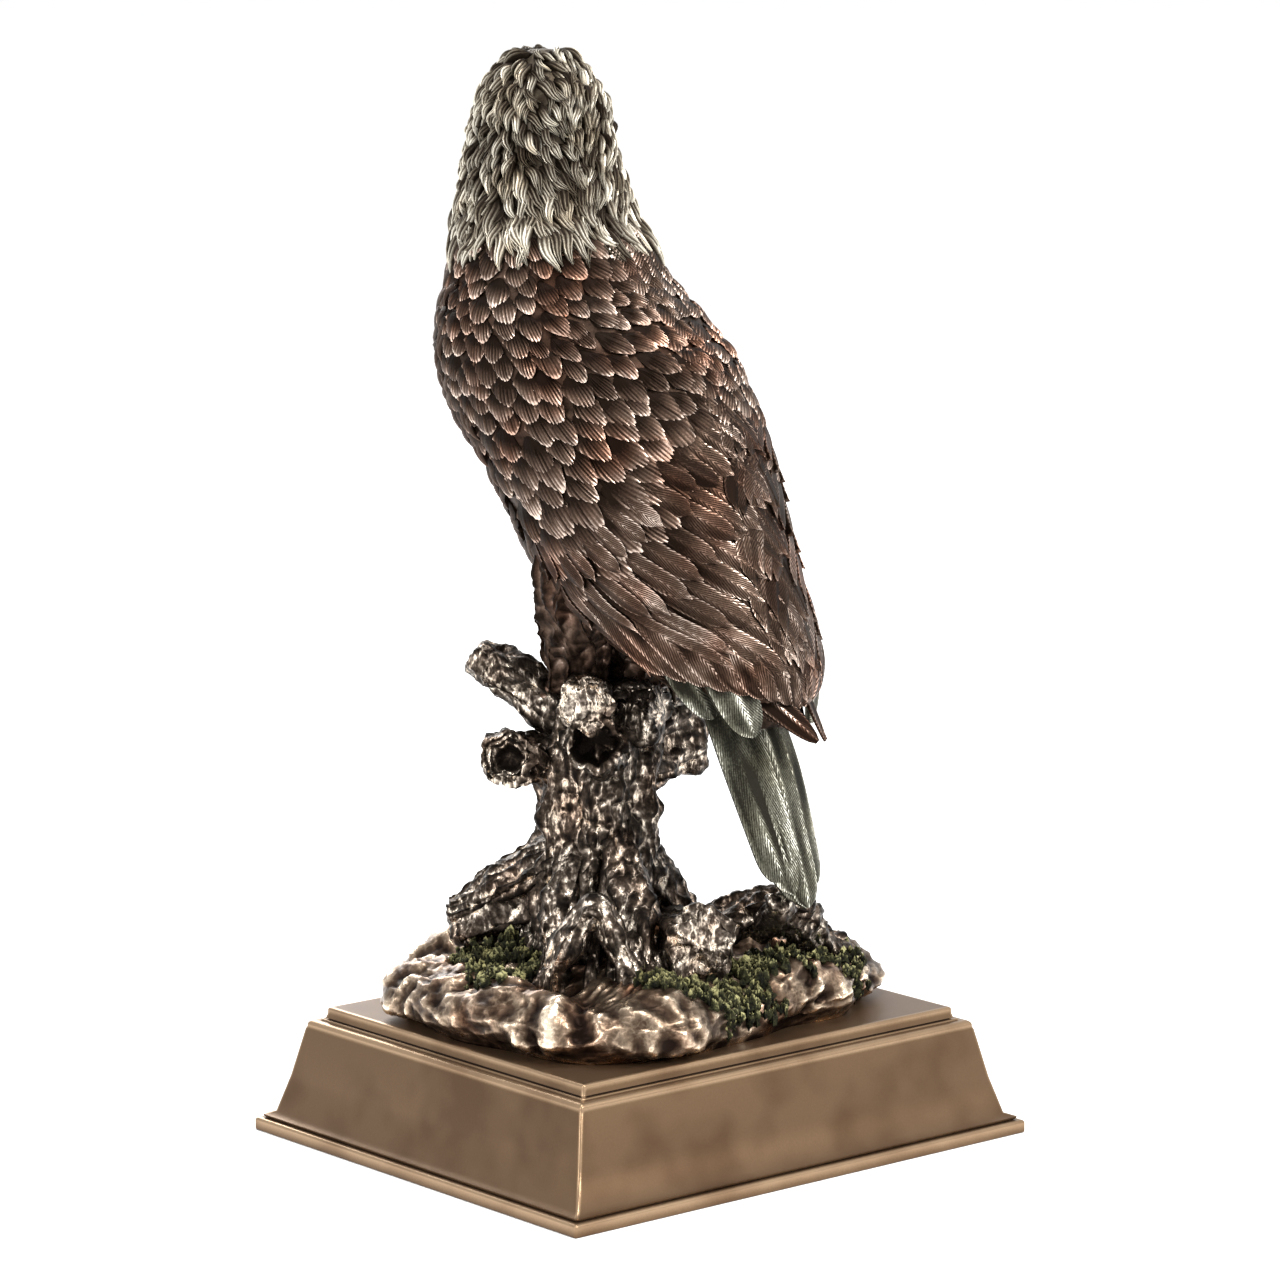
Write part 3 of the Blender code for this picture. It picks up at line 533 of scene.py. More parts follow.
# Each limb is a run of stations: x, y, height and radius, from where it leaves the trunk to its end.
LIMBS = {
    "trunk": (
        (16, -2, 2, 37), (16, -4, 16, 31), (15, -6, 34, 25.5), (14, -7, 52, 22.5), (14, -7, 70, 21),
        (13, -7, 88, 21), (11, -8, 104, 20), (9, -9, 112, 15),
    ),
    "raised_branch": (
        (18, -10, 101, 14), (28, -21, 110, 10.5), (37.5, -31, 117, 8.6), (41, -35, 120.5, 7.0),
    ),
    "ringed_branch": ((18, -8, 86, 12), (32, -17, 88, 10), (41, -17.5, 90, 9.6), (46.5, -13, 90.5, 9.4)),
    "hollow_branch": ((14, -4, 94, 15), (25, 7, 97, 12), (33, 16, 98, 10.2)),
    "sawn_stub": ((20, 0, 106, 10), (29, 8, 110, 10.2), (34.5, 13, 111, 9.8)),
    "right_bough": ((10, -8, 84, 17), (-8, -11, 88, 17), (-24, -13, 92, 16), (-33, -14, 93, 11)),
    "short_bough": ((12, -4, 99, 14), (8, 5, 104, 13.5), (4, 12, 104, 12.0)),
    "left_log": ((12, -4, 64, 13), (23, -15, 47, 17), (38, -31, 35, 12.5), (47, -40, 30, 10.5)),
    "left_root": ((20, -2, 66, 7), (34, 2, 46, 8), (45, 10, 28, 7), (53, 18, 12, 7)),
    "front_root": ((16, 6, 66, 7), (22, 20, 46, 8.5), (27, 33, 28, 7.4), (31, 43, 12, 7)),
    "arched_root": (
        (56, 18, 5, 6.4), (53.5, 20, 26, 5.4), (44, 29, 45, 5.4), (37, 37, 27, 5.4), (34.5, 45, 5, 6.6),
    ),
    "right_root": ((4, 2, 50, 11), (-6, 10, 34, 9.5), (-14, 14, 18, 9)),
    "far_root": ((0, -16, 46, 12), (-14, -28, 28, 10), (-26, -38, 14, 9)),
    "far_left_root": ((20, -24, 40, 10), (24, -40, 24, 8.5), (26, -52, 12, 8)),
    "log_end": ((-4, 14, 22, 14), (5, 32, 28, 13.5), (11, 43, 32, 13), (13, 46.5, 32, 12)),
    "mossy_root": (
        (-2, 10, 20, 11), (-17, 29, 33, 8.5), (-26, 43, 40, 7.2), (-31, 45, 36, 7.5), (-44, 38, 24, 8),
        (-56, 34, 16, 9),
    ),
    "root_spur": ((-24, 36, 30, 7), (-18, 50, 38, 5.6), (-11, 59, 45, 4.4)),
    "long_strand": ((34, 18, 44, 3), (43, 27, 24, 3.0), (47, 30, 8, 3.4)),
    "thin_strand": ((32, 22, 38, 2.5), (39, 32, 22, 2.4), (42, 37, 8, 3.0)),
}
ENDS = {"ringed_branch": RINGED_END, "hollow_branch": HOLLOW_END, "sawn_stub": SAWN_END, "log_end": SAWN_END}
LONG_GRAINED = ("left_log", "arched_root", "long_strand", "thin_strand")
# How much brighter each limb is painted: the sawn stub and the arched root a little brighter, and the two
# strands in the arched root's hollow darker as painted shade.
LIMB_TONES_AND_PAINTED_SHADE = {"sawn_stub": 0.14, "arched_root": 0.05, "long_strand": -0.18, "thin_strand": -0.18}
BARK_STEP = 0.98

stump_lofts = []
for number, (limb, stations) in enumerate(LIMBS.items()):
    path, radii = np.array(stations, float)[:, :3], np.array(stations, float)[:, 3]
    length = np.linalg.norm(np.diff(path, axis=0), axis=1).sum()
    sides = int(np.clip(5.6 * radii.max() / BARK_STEP, 44, 180))
    rows = int(length / BARK_STEP) + 2
    trunk = limb == "trunk"
    grid, rub_and_painted_light = barked(
        path, radii, sides, rows, seed=11 * number, flutes=6 if trunk else 5,
        depth=0.075 if trunk else 0.07, end=ENDS.get(limb, TORN_END), phase=0.7 if trunk else 0.0,
        fibre=LONG_FIBRE if limb in LONG_GRAINED else FIBRE,
    )
    stump_lofts.append((on_seat(grid)[None], rub_and_painted_light[None] + LIMB_TONES_AND_PAINTED_SHADE.get(limb, 0.0)))
old_wood = rubbed_paint(
    "old_wood",
    ((0.06, STUMP_DEEP), (0.28, STUMP_SHADE), (0.44, STUMP_BODY), (0.58, STUMP_LIGHT), (0.88, STUMP_BRIGHT)),
    stain=(0.70, 0.52, 0.42),
    stain_share=0.7,
    grain=520.0,
    cloud=48.0,
    gloss=(0.50, 0.26),
    metal=(0.75, 1.0),
    bump=0.6,
    grain_share=0.9,
    veins=0.55,
    upright=0.4,
)
stump_piece = make_mesh("stump", stump_lofts, old_wood)
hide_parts("eagle_on_stump")

# The moss: cast and painted tufts that fill the hollows between roots and rocks and creep up the
# root under the tail. Each tuft is a small lumpy ball, dark green below and lighter at its tips.

MOSS_BEDS = (
    (52, -6, 17), (44, -22, 17), (60, 4, 15), (26, 50, 15), (10, 52, 15), (-8, 50, 14), (-24, 44, 14),
    (-50, 46, 14), (-40, 32, 13), (34, 54, 8), (-22, -30, 16), (12, -52, 13),
)
MOSS_STEMS = (
    (-30, 42, 33, 7), (-42, 38, 25, 8), (12, 36, 34, 6), (48, -24, 20, 7), (50, -10, 18, 7), (44, -15, 27, 8),
    (50, -3, 24, 8),
)
MOSS_DEEP = (0.002, 0.002, 0.001)
MOSS_BODY = (0.031, 0.031, 0.012)
MOSS_TIP = (0.49, 0.46, 0.22)


def globe(rows, around, gap):
    """A unit ball as rings of latitude, which leave a small gap in angle at each pole."""
    down = np.linspace(gap, math.pi - gap, rows)[:, None]
    turn = np.linspace(0, 2 * math.pi, around, endpoint=False)[None, :]
    x, y = np.sin(down) * np.cos(turn), np.sin(down) * np.sin(turn)
    return np.stack([x, y, np.broadcast_to(np.cos(down), x.shape)], axis=-1)


def moss_tufts(count=1500, rows=5, around=7):
    """Lumpy balls set on the rocks' own grid inside round beds, and along the mossy root."""
    random = np.random.default_rng(8)
    spots = rocks[8:-8].reshape(-1, 3)
    share = np.zeros(len(spots))
    for x, y, wide in MOSS_BEDS:
        share = np.maximum(share, 1 - np.hypot(spots[:, 0] - x, spots[:, 1] - y) / wide)
    share = np.clip(share, 0, 1) ** 0.6 * (soft_noise(spots, 6, 3) > 0.36)
    area = np.hypot(spots[:, 0], spots[:, 1])
    chosen = random.choice(len(spots), count, p=share * area / (share * area).sum())
    centres = spots[chosen] + random.normal(0, 0.7, (count, 3)) + (0, 0, 0.3)
    stems = []
    for x, y, z, wide in MOSS_STEMS:
        stems.append(np.array((x, y, z)) + random.normal(0, 0.42, (26, 3)) * (wide, wide, 0.6 * wide))
    centres = np.concatenate([centres, *stems])
    size = random.uniform(0.8, 2.1, (len(centres), 1, 1, 1)) * np.array((0.85, 0.85, 1.2))
    unit = globe(rows, around, 0.12)
    bump = random.uniform(-0.6, 0.6, (len(centres), rows, around))
    grid = centres[:, None, None] + unit * size * (1 + bump)[..., None]
    shade = random.normal(0, 0.16, (len(centres), 1, 1))
    return grid, np.clip(0.12 + shade + 0.75 * bump + 0.28 * unit[..., 2], 0, 1)


moss_grid, moss_rub = moss_tufts()
moss_green = rubbed_paint(
    "moss_green",
    ((0.0, MOSS_DEEP), (0.45, MOSS_BODY), (1.0, MOSS_TIP)),
    stain=(0.55, 0.50, 0.35),
    stain_share=0.6,
    grain=1500.0,
    cloud=120.0,
    gloss=(0.80, 0.55),
    metal=(0.0, 0.2),
    bump=0.5,
    grain_share=1.2,
)
moss_piece = make_mesh("moss", [(on_seat(moss_grid), moss_rub)], moss_green)
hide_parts("eagle_on_stump")

# The eagle's body: the undercoat that shows between the feathers, one skin from the rump to the
# crown with the folded wings standing proud of it. It is cast in one with all that follows.

BIRD_TURN = math.radians(12)
PERCH = np.array((4.4, -12.0, 0.0))
BODY_STATIONS = np.array(
    (
        (104, 66.0, 5.0, 5.0),
        (110, 63.5, 13.0, 12.0),
        (117, 58.5, 20.5, 19.5),
        (125, 52.0, 27.5, 26.0),
        (134, 43.5, 32.5, 31.5),
        (146, 30.5, 37.0, 40.5),
        (153, 26.5, 38.5, 41.5),
        (167, 19.5, 41.0, 43.5),
        (180, 13.5, 42.5, 45.5),
        (193, 6.5, 44.0, 48.5),
        (205, -0.5, 45.0, 51.0),
        (217, -7.0, 45.0, 50.5),
        (224, -9.5, 45.5, 48.5),
        (231, -13.0, 44.0, 43.5),
        (241, -17.5, 41.5, 38.5),
        (250, -21.0, 38.0, 35.5),
        (259, -23.0, 34.0, 33.0),
        (269, -26.0, 30.0, 29.5),
        (285, -27.5, 25.4, 25.4),
        (298, -28.0, 22.6, 23.0),
        (308, -28.0, 20.0, 20.6),
        (316, -28.0, 15.8, 16.4),
        (322, -28.0, 10.0, 10.5),
        (325.5, -28.0, 3.5, 3.5),
    )
)
WING_PROUD = 2.6
FEATHER_DEEP = (0.008, 0.004, 0.002)
FEATHER_SHADE = (0.048, 0.030, 0.021)
FEATHER_BODY = (0.135, 0.092, 0.070)
FEATHER_BRIGHT = (0.74, 0.60, 0.51)


def in_stump(points):
    """The eagle's own axes, left, back and up, turned and set over the perch."""
    points = np.asarray(points, float)
    c, s = math.cos(BIRD_TURN), math.sin(BIRD_TURN)
    x = points[..., 0] * c - points[..., 1] * s
    y = points[..., 0] * s + points[..., 1] * c
    return np.stack([x, y, points[..., 2]], axis=-1) + PERCH


def coat(height, angle):
    """The coat's point at a height and an angle from the left flank: an ellipse at each height."""
    height, angle = np.broadcast_arrays(np.asarray(height, float), np.asarray(angle, float))
    middle, half_x, half_y = np.moveaxis(through(BODY_STATIONS[:, 0], BODY_STATIONS[:, 1:], height), -1, 0)
    edge = np.radians(np.interp(height, (130, 150, 192, 218, 244), (-62, -52, -46, -46, -58)))
    flank = np.where(np.cos(angle) < 0, math.pi - angle, angle)
    flank = (flank + math.pi) % (2 * math.pi) - math.pi
    proud = WING_PROUD * ramp(flank - edge, -0.07, 0.05) * ramp(height, 250, 236)
    x = (half_x + proud) * np.cos(angle)
    y = middle + (half_y + proud) * np.sin(angle)
    return np.stack([x, y, height], axis=-1)


def laid(surface, height, angle, out):
    """Points on a surface moved out along its normal, which is its slope round times its slope up."""
    here = surface(height, angle)
    up = surface(height + 0.5, angle) - surface(height - 0.5, angle)
    turn = surface(height, angle + 0.01) - surface(height, angle - 0.01)
    normal = np.cross(turn, up)
    normal /= np.linalg.norm(normal, axis=-1, keepdims=True) + 1e-9
    return here + normal * np.asarray(out)[..., None]


body_height = np.linspace(104.5, 325.2, 130)[:, None]
body_angle = np.linspace(-math.pi, math.pi, 90, endpoint=False)[None, :]
skin = coat(body_height, body_angle)
strands = crests(skin * (1, 1, 0.22), 2.6, 2, 31) - 0.5
skin = laid(coat, body_height, body_angle, -0.6 + strands)
plumage = rubbed_paint(
    "copper_brown_plumage",
    ((0.06, FEATHER_DEEP), (0.34, FEATHER_SHADE), (0.58, FEATHER_BODY), (0.94, FEATHER_BRIGHT)),
    stain=(0.85, 0.55, 0.42),
    stain_share=0.75,
    grain=1500.0,
    cloud=42.0,
    gloss=(0.56, 0.40),
    metal=(0.75, 1.0),
)
skin_rub = 0.12 + 0.6 * strands
collar = int(np.searchsorted(body_height[:, 0], 264))
body_loft = (on_seat(in_stump(skin[:collar]))[None], skin_rub[None, :collar])
body_piece = make_mesh("eagle_undercoat", [body_loft], plumage)
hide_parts("eagle_on_stump")

# The wing coverts: some twenty rows of short round feathers over shoulders and back, each a fan of
# raised barbs that rises to a thick rounded edge. They fan out from the shoulder's peak.

FLOW_ANGLES = (-60, -20, 5, 25, 40, 55, 70, 85, 100)
FLOW_HEIGHTS = (140, 160, 186, 214, 250)
FLOW_TURNS = np.array(
    (
        (0, 10, 34, 40, 42, 42, 38, 26, 8),
        (-10, 5, 38, 44, 46, 46, 43, 34, 12),
        (-25, -15, 5, 30, 46, 49, 49, 40, 15),
        (-30, -25, -8, 12, 28, 34, 40, 38, 15),
        (-20, -25, -5, 18, 34, 48, 56, 52, 20),
    )
)
COVERT_SPACING = 7.9
COVERT_ROW = 6.1
SUNK = -1.6


def wing_flow(height, angle):
    """How far a feather turns from straight down towards the spine: a table blended both ways."""
    by_height = [np.interp(np.degrees(angle), FLOW_ANGLES, row) for row in FLOW_TURNS]
    level = np.interp(height, FLOW_HEIGHTS, np.arange(len(FLOW_HEIGHTS)))
    low = np.clip(level.astype(int), 0, len(FLOW_HEIGHTS) - 2)
    table = np.array(by_height)
    column = np.arange(np.size(angle)).reshape(np.shape(angle))
    table = table.reshape(len(FLOW_HEIGHTS), -1)
    first, second = table[low, column], table[low + 1, column]
    return np.radians(first + (second - first) * (level - low))


def covert_limit(angle):
    """The height at which short coverts give way to long ones: it rises from breast to spine."""
    return 157 + 42 * ramp(np.degrees(angle), -20, 88)


def comb(random, count, spots):
    """Ridges and grooves by turns along one axis, each with its own random strength, per feather."""
    turns = np.where(np.arange(spots) % 2 == 0, 1.0, -1.0)
    return turns * random.uniform(0.35, 1.25, (count, spots))


def lay_feathers(surface, height, angle, turn, length, width, plan, relief, columns, rows, reach=1.0):
    """Feathers on a surface, as closed lofts. Each is a strip of rows from root to tip.

    The middle line steps down the surface along its turn. plan(v, u) gives each point's offset
    along and across as shares of length and half width, and relief(v, u) its height and its rub.
    A reach over 1 doubles the edge columns, for a blade with a wall of its own. The back is three
    columns, sunk into the surface.
    """
    v = np.linspace(0, 1, rows)[None, :, None]
    u = np.clip(np.linspace(-reach, reach, columns), -1, 1)[None, None, :]
    height, angle = np.asarray(height, float).copy(), np.asarray(angle, float).copy()
    length, width = np.broadcast_to(length, height.shape), np.broadcast_to(width, height.shape)
    track = []
    for _ in range(rows):
        way = turn(height, angle)
        rise = surface(height + 0.5, angle) - surface(height - 0.5, angle)
        swing = surface(height, angle + 0.01) - surface(height, angle - 0.01)
        per_height, per_angle = np.linalg.norm(rise, axis=-1), np.linalg.norm(swing, axis=-1) / 0.02
        track.append((height, angle, way, per_height, per_angle))
        step = length / (rows - 1)
        height = height - step * np.cos(way) / per_height
        angle = angle + step * np.sin(way) / per_angle
    height, angle, way, per_height, per_angle = (np.array(part).T[:, :, None] for part in zip(*track))
    ahead, across = plan(v, u)
    ahead = ahead * length[:, None, None]
    across = across * 0.5 * width[:, None, None]
    high = height + (np.sin(way) * across - np.cos(way) * ahead) / per_height
    bearing = angle + (np.cos(way) * across + np.sin(way) * ahead) / per_angle
    out, rub_and_painted_light = (np.broadcast_to(part, high.shape) for part in relief(v, u))
    top = laid(surface, high, bearing, out)
    ends = [-1, columns // 2, 0]
    back = laid(surface, high[..., ends], bearing[..., ends], np.array(SUNK))
    return np.concatenate([top, back], axis=2), np.concatenate([rub_and_painted_light, np.zeros(back.shape[:3])], axis=2)


def fan_plan(v, u):
    """A fan: narrow at the root, widest near the tip, whose end is rounded by the square of u."""
    across = u * (0.20 + 0.80 * np.sin(0.5 * math.pi * np.clip(v / 0.82, 0, 1)))
    return -0.46 * u**2 * v**2, across


def fan_relief(v, u, barbs, shade):
    """A domed shingle that rises to a thick rounded tip, with barbs that spread from its root.

    The rub follows the barbs, is highest on the rim, and falls off towards the root as painted shade under
    the feather above.
    """
    fade = 0.25 + 0.75 * ramp(v, 0.15, 0.6)
    dome = 0.95 * (1 - u**2) * np.sin(math.pi * v**0.8) - 0.75 * v**12
    out = 2.1 * (v - 0.42) + dome + 0.24 * barbs * fade
    rim = ramp(v, 0.86, 0.98) * (1 - 0.6 * u**2) + 0.35 * ramp(np.abs(u), 0.8, 1.0) * ramp(v, 0.6, 0.9)
    rub_and_painted_light = 0.36 + shade + 0.25 * barbs * fade + 0.48 * rim + 0.12 * (1 - u**2)
    # Painted shade: the rub goes to nothing towards the root, under the feather above.
    return out, rub_and_painted_light * ramp(v, 0.32, 0.86)


def mirrored(loft):
    """The same feathers on the eagle's other side."""
    rings, rub_and_painted_light = loft
    return rings * np.array((-1.0, 1.0, 1.0)), rub_and_painted_light


def placed(lofts):
    """Lofts in the eagle's axes, carried to their place over the plinth."""
    return [(on_seat(in_stump(rings)), rub_and_painted_light) for rings, rub_and_painted_light in lofts]


def covert_roots(random):
    """Rows of roots, each row half a space on from the last, over one wing down to the limit."""
    roots = []
    for row, height in enumerate(np.arange(261, 150, -COVERT_ROW)):
        grow = 0.90 + 0.42 * ramp(height, 238, 175)
        angle = math.radians(-46) + 0.5 * (row % 2) * COVERT_SPACING * grow / 45
        while angle < math.radians(93):
            ahead = np.linalg.norm(coat(height, angle + 0.01) - coat(height, angle)) / 0.01
            if height > covert_limit(angle) - 3 and math.degrees(angle) > -30 - 0.25 * (height - 200):
                roots.append((height + 5, angle, grow))
            angle += COVERT_SPACING * grow / ahead
    roots = np.array(roots)
    roots[:, 0] += random.normal(0, 1.0, len(roots))
    roots[:, 1] += random.normal(0, 0.022, len(roots))
    return roots


random = np.random.default_rng(4)
for side_name in ("left", "right"):
    roots = covert_roots(random)
    count = len(roots)
    jitter = random.normal(0, 0.11, count)
    size = roots[:, 2] * random.uniform(0.86, 1.14, count)
    barbs = comb(random, count, 17)[:, None]
    shade = random.normal(0, 0.09, (count, 1, 1))
    coverts = lay_feathers(
        coat, roots[:, 0], roots[:, 1], lambda h, a: wing_flow(h, a) + jitter, 14.0 * size, 10.4 * size,
        fan_plan, lambda v, u: fan_relief(v, u, barbs, shade), columns=17, rows=9,
    )
    if side_name == "right":
        coverts = mirrored(coverts)
    covert_piece = make_mesh(side_name + "_wing_coverts", placed([coverts]), plumage)
    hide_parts("eagle_on_stump")

# The long wing feathers: greater coverts, secondaries and primaries in five overlapping tiers, and
# free tips that cross the tail. Each has a raised shaft and slanting barbs, worn to copper.

TIERS = (
    # how far below the coverts' limit the roots lie, length, width, spacing
    (-9, 24, 8.6, 6.6),
    (2, 32, 9.2, 6.9),
    (14, 40, 9.6, 7.2),
    (27, 46, 10.0, 7.6),
    (38, 48, 10.5, 8.0),
)
BARB_SPACING = 1.9
BARB_SLANT = 2.3
QUILL_COLUMNS = 11
QUILL_ROWS = 18
WALL_REACH = 1.25
BACK_RUB = 0.34


def quill_plan(v, u):
    """A long blade that narrows to a rounded tip, bent a little towards one side."""
    end = np.clip((v - 0.70) / 0.30, 0, 1)
    shape = (0.72 + 0.28 * ramp(v, 0, 0.35)) * np.sqrt(np.clip(1 - end**2.2, 0.04, 1))
    return -0.05 * u**2 * v**2, u * shape + 0.25 * v**2


def vane_marks(rub_and_painted_light, along, across, slant=BARB_SLANT, spacing=BARB_SPACING):
    """The rub together with the count of slanting barbs passed, from distances along and across."""
    count = (along - slant * np.abs(across)) / spacing
    return np.stack(np.broadcast_arrays(rub_and_painted_light, count), axis=-1)


def walled(out, rub_and_painted_light):
    """Drops the doubled edge columns to make a wall under a blade's rim, painted dark as its shade."""
    wall = np.zeros(out.shape[-1])
    wall[[0, -1]] = 1.0
    return out - 0.7 * wall, rub_and_painted_light * (1 - wall)


def quill_relief(v, u, shade):
    """A blade that rises to its tip and outer edge, with a raised shaft and a rolled rim."""
    shaft = np.exp(-((u / 0.13) ** 2)) * (1 - 0.6 * v)
    rim = ramp(np.abs(u), 0.76, 1.0) + 0.8 * ramp(v, 0.93, 1.0)
    out = 2.7 * (v - 0.4) + 0.95 * (1 - u**2) + 0.5 * shaft + 0.35 * rim + 0.4 * u
    rub_and_painted_light = 0.19 + shade + 0.26 * shaft + 0.34 * rim + 0.08 * ramp(v, 0.3, 0.95) + 0.06 * u
    # Painted shade: the rub goes to nothing towards the root, under the tier above.
    return walled(out, rub_and_painted_light * ramp(v, 0.10, 0.6))


def quill_path(path, width, facing, random, rows, thick, taper=0.45, shade=0.0, barbs=()):
    """A free feather: a blade's section carried along its own smooth path, turned to face one way."""
    v = np.linspace(0, 1, rows)
    u = np.clip(np.linspace(-WALL_REACH, WALL_REACH, QUILL_COLUMNS), -1, 1)
    line = through(np.linspace(0, 1, len(path)), path, v)
    way = np.gradient(line, axis=0)
    along = np.cumsum(np.linalg.norm(way, axis=1))[:, None]
    way /= np.linalg.norm(way, axis=1)[:, None]
    side = np.cross(facing, way)
    side /= np.linalg.norm(side, axis=1)[:, None]
    normal = np.cross(way, side)
    shape = np.sqrt(np.clip(1 - np.clip((v - 1 + taper) / taper, 0, 1) ** 2.6, 0.02, 1))[:, None]
    shaft = np.exp(-((u / 0.13) ** 2))[None, :]
    rim = ramp(np.abs(u), 0.76, 1.0)[None, :]
    across = 0.5 * width * shape * u
    out = thick * (0.35 + 0.45 * (1 - u**2)) * np.clip(shape, 0.4, 1) + 0.5 * shaft
    place = np.stack(np.broadcast_arrays(2.6 * u[None, :], 5.0 * v[:, None], random.uniform(0, 50)), axis=-1)
    streak = soft_noise(place, 1.0, 17) - 0.5
    rub_and_painted_light = 0.24 + shade + 0.26 * shaft + 0.32 * rim + 0.7 * streak + 0.10 * ramp(v, 0.3, 0.95)[:, None]
    out, rub_and_painted_light = walled(out, rub_and_painted_light)
    middle = line[:, None] + side[:, None] * across[..., None]
    top = middle + normal[:, None] * out[..., None]
    back = middle[:, [-1, QUILL_COLUMNS // 2, 0]] - normal[:, None] * 0.5 * thick
    marks = vane_marks(rub_and_painted_light, along, across, *barbs)
    plain = np.broadcast_to((BACK_RUB, 0.0), (rows, 3, 2))
    return np.concatenate([top, back], axis=1)[None], np.concatenate([marks, plain], axis=1)[None]


def tier_roots(below, spacing, random):
    """Roots along one tier, evenly spaced over the wing from its front edge to the spine."""
    roots = []
    angle = math.radians(-34) + random.uniform(0, 0.1)
    while angle < math.radians(90):
        height = float(covert_limit(angle)) - below + 6
        ahead = np.linalg.norm(coat(height, angle + 0.01) - coat(height, angle)) / 0.01
        roots.append((height, angle))
        angle += spacing / ahead
    return np.array(roots)


quills = []
for below, length, width, spacing in TIERS:
    for mirror in (1, -1):
        roots = tier_roots(below, spacing, random)
        roots = roots[roots[:, 0] - 0.62 * length > 116]
        count = len(roots)
        jitter = random.normal(0, 0.05, count)
        size = random.uniform(0.90, 1.10, count)
        place = np.broadcast_arrays(np.arange(count)[:, None], np.linspace(0, 5, QUILL_ROWS), 0.5 * mirror)
        cloudy = soft_noise(np.stack(place, axis=-1), 1.0, 19)[..., None] - 0.5
        shade = random.normal(0, 0.08, (count, 1, 1)) + 0.4 * cloudy
        # Painted shade: darker towards the spine, where the two wings meet.
        shade = shade - 0.26 * ramp(roots[:, 1], math.radians(72), math.radians(88))[:, None, None]
        rings, rub_and_painted_light = lay_feathers(
            coat, *roots.T, lambda h, a: wing_flow(h, a) + jitter, length * size, width * size,
            quill_plan, lambda v, u: quill_relief(v, u, shade), QUILL_COLUMNS, QUILL_ROWS, WALL_REACH,
        )
        u = np.clip(np.linspace(-WALL_REACH, WALL_REACH, QUILL_COLUMNS), -1, 1)
        across = 0.5 * width * np.append(u, (1, 0, -1))
        marks = vane_marks(rub_and_painted_light, np.linspace(0, length, QUILL_ROWS)[:, None], across)
        quills.append((rings * (mirror, 1.0, 1.0), marks))
for mirror in (1, -1):
    for share in np.linspace(0, 1, 9):
        height, angle = 128 - 13 * share, math.radians(2 + 84 * share)
        steps = ((24, -0.18, -2.5), (9, -0.07, 0.2), (-2, 0.0, 2.0))
        path = [laid(coat, height + up, angle + turn, np.array(out)) for up, turn, out in steps]
        facing = (mirror * math.cos(angle), math.sin(angle), 0.3)
        quills.append(quill_path(np.array(path) * (mirror, 1, 1), 10.5, facing, random, rows=26, thick=2.2))
    for share in (0.70, 0.85, 1.0):
        root = (mirror * (34 - 16 * share), 26 + 20 * share, 152 - 8 * share)
        middle = (mirror * (30 - 15 * share), 40 + 20 * share + 5 * share**3, 137 - 6 * share - 5 * share**3)
        tip = (mirror * (22 - 20 * share), 44 + 28 * share + 18 * share**3, 130 - 24 * share - 4 * share**3)
        facing = (mirror * (0.9 - 0.5 * share), 0.6 + 0.3 * share, 0.35)
        quills.append(quill_path((root, middle, tip), 10.0, facing, random, rows=34, thick=1.3, shade=-0.15))
quill_piece = make_mesh("long_wing_feathers", placed(quills), plumage)
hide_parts("eagle_on_stump")

# The tail: seven long flat feathers, narrow where they leave the body, and broad coverts over
# their roots. The paint here is pale grey green, dry-brushed over dark bronze.

TAIL_FEATHERS = 7
TAIL_BARBS = (3.8, 2.9)
TAIL_DEEP = (0.012, 0.011, 0.007)
TAIL_SHADE = (0.070, 0.068, 0.051)
TAIL_BODY = (0.160, 0.157, 0.124)
TAIL_BRIGHT = (0.80, 0.79, 0.70)

tail = []
for i in range(TAIL_FEATHERS):
    side = (i - (TAIL_FEATHERS - 1) / 2) / ((TAIL_FEATHERS - 1) / 2)
    stand = 2.0 * (1 - abs(side)) + 1.9 * (i % 2)
    root = (10.5 * side, 50 + stand, 124)
    middle = (12.5 * side, 66.0 + stand, 92)
    tip = (8.0 * side, 82.5 + 0.6 * stand - 2.0 * abs(side), 45 + 9 * abs(side) ** 1.3)
    facing = (0.42 * side + 0.35, 0.9, 0.35)
    shade = -0.02 - 0.10 * ((i + 1) % 2)
    line = (root, middle, tip)
    tail.append(quill_path(line, 12.0, facing, random, 44, 2.2, taper=0.15, shade=shade, barbs=TAIL_BARBS))
for mirror in (1, -1):
    near = ((24 * mirror, 42, 138), (26 * mirror, 53, 125), (19.5 * mirror, 60, 109))
    far = ((20 * mirror, 58, 135), (21.5 * mirror, 69, 120), (15.5 * mirror, 74, 104))
    tail.append(quill_path(near, 13, (0.75 * mirror, 0.65, 0.25), random, rows=30, thick=3.2, taper=0.6))
    tail.append(quill_path(far, 15, (0.65 * mirror, 0.75, 0.25), random, rows=32, thick=3.2, taper=0.6))
pale_plumage = rubbed_paint(
    "pale_green_plumage",
    ((0.10, TAIL_DEEP), (0.36, TAIL_SHADE), (0.66, TAIL_BODY), (1.0, TAIL_BRIGHT)),
    stain=(0.78, 0.74, 0.62),
    stain_share=0.7,
    grain=1500.0,
    cloud=60.0,
    gloss=(0.55, 0.40),
    metal=(0.5, 0.7),
    bump=0.35,
    grain_share=0.55,
    veins=0.35,
    upright=0.3,
)
tail_piece = make_mesh("tail_feathers", placed(tail), pale_plumage)
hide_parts("eagle_on_stump")

# The head and neck: hundreds of narrow, wavy, pointed locks from the crown down to the ruff, which
# ends in a ragged edge over the shoulders. The paint is ivory, dry-brushed over dark bronze.

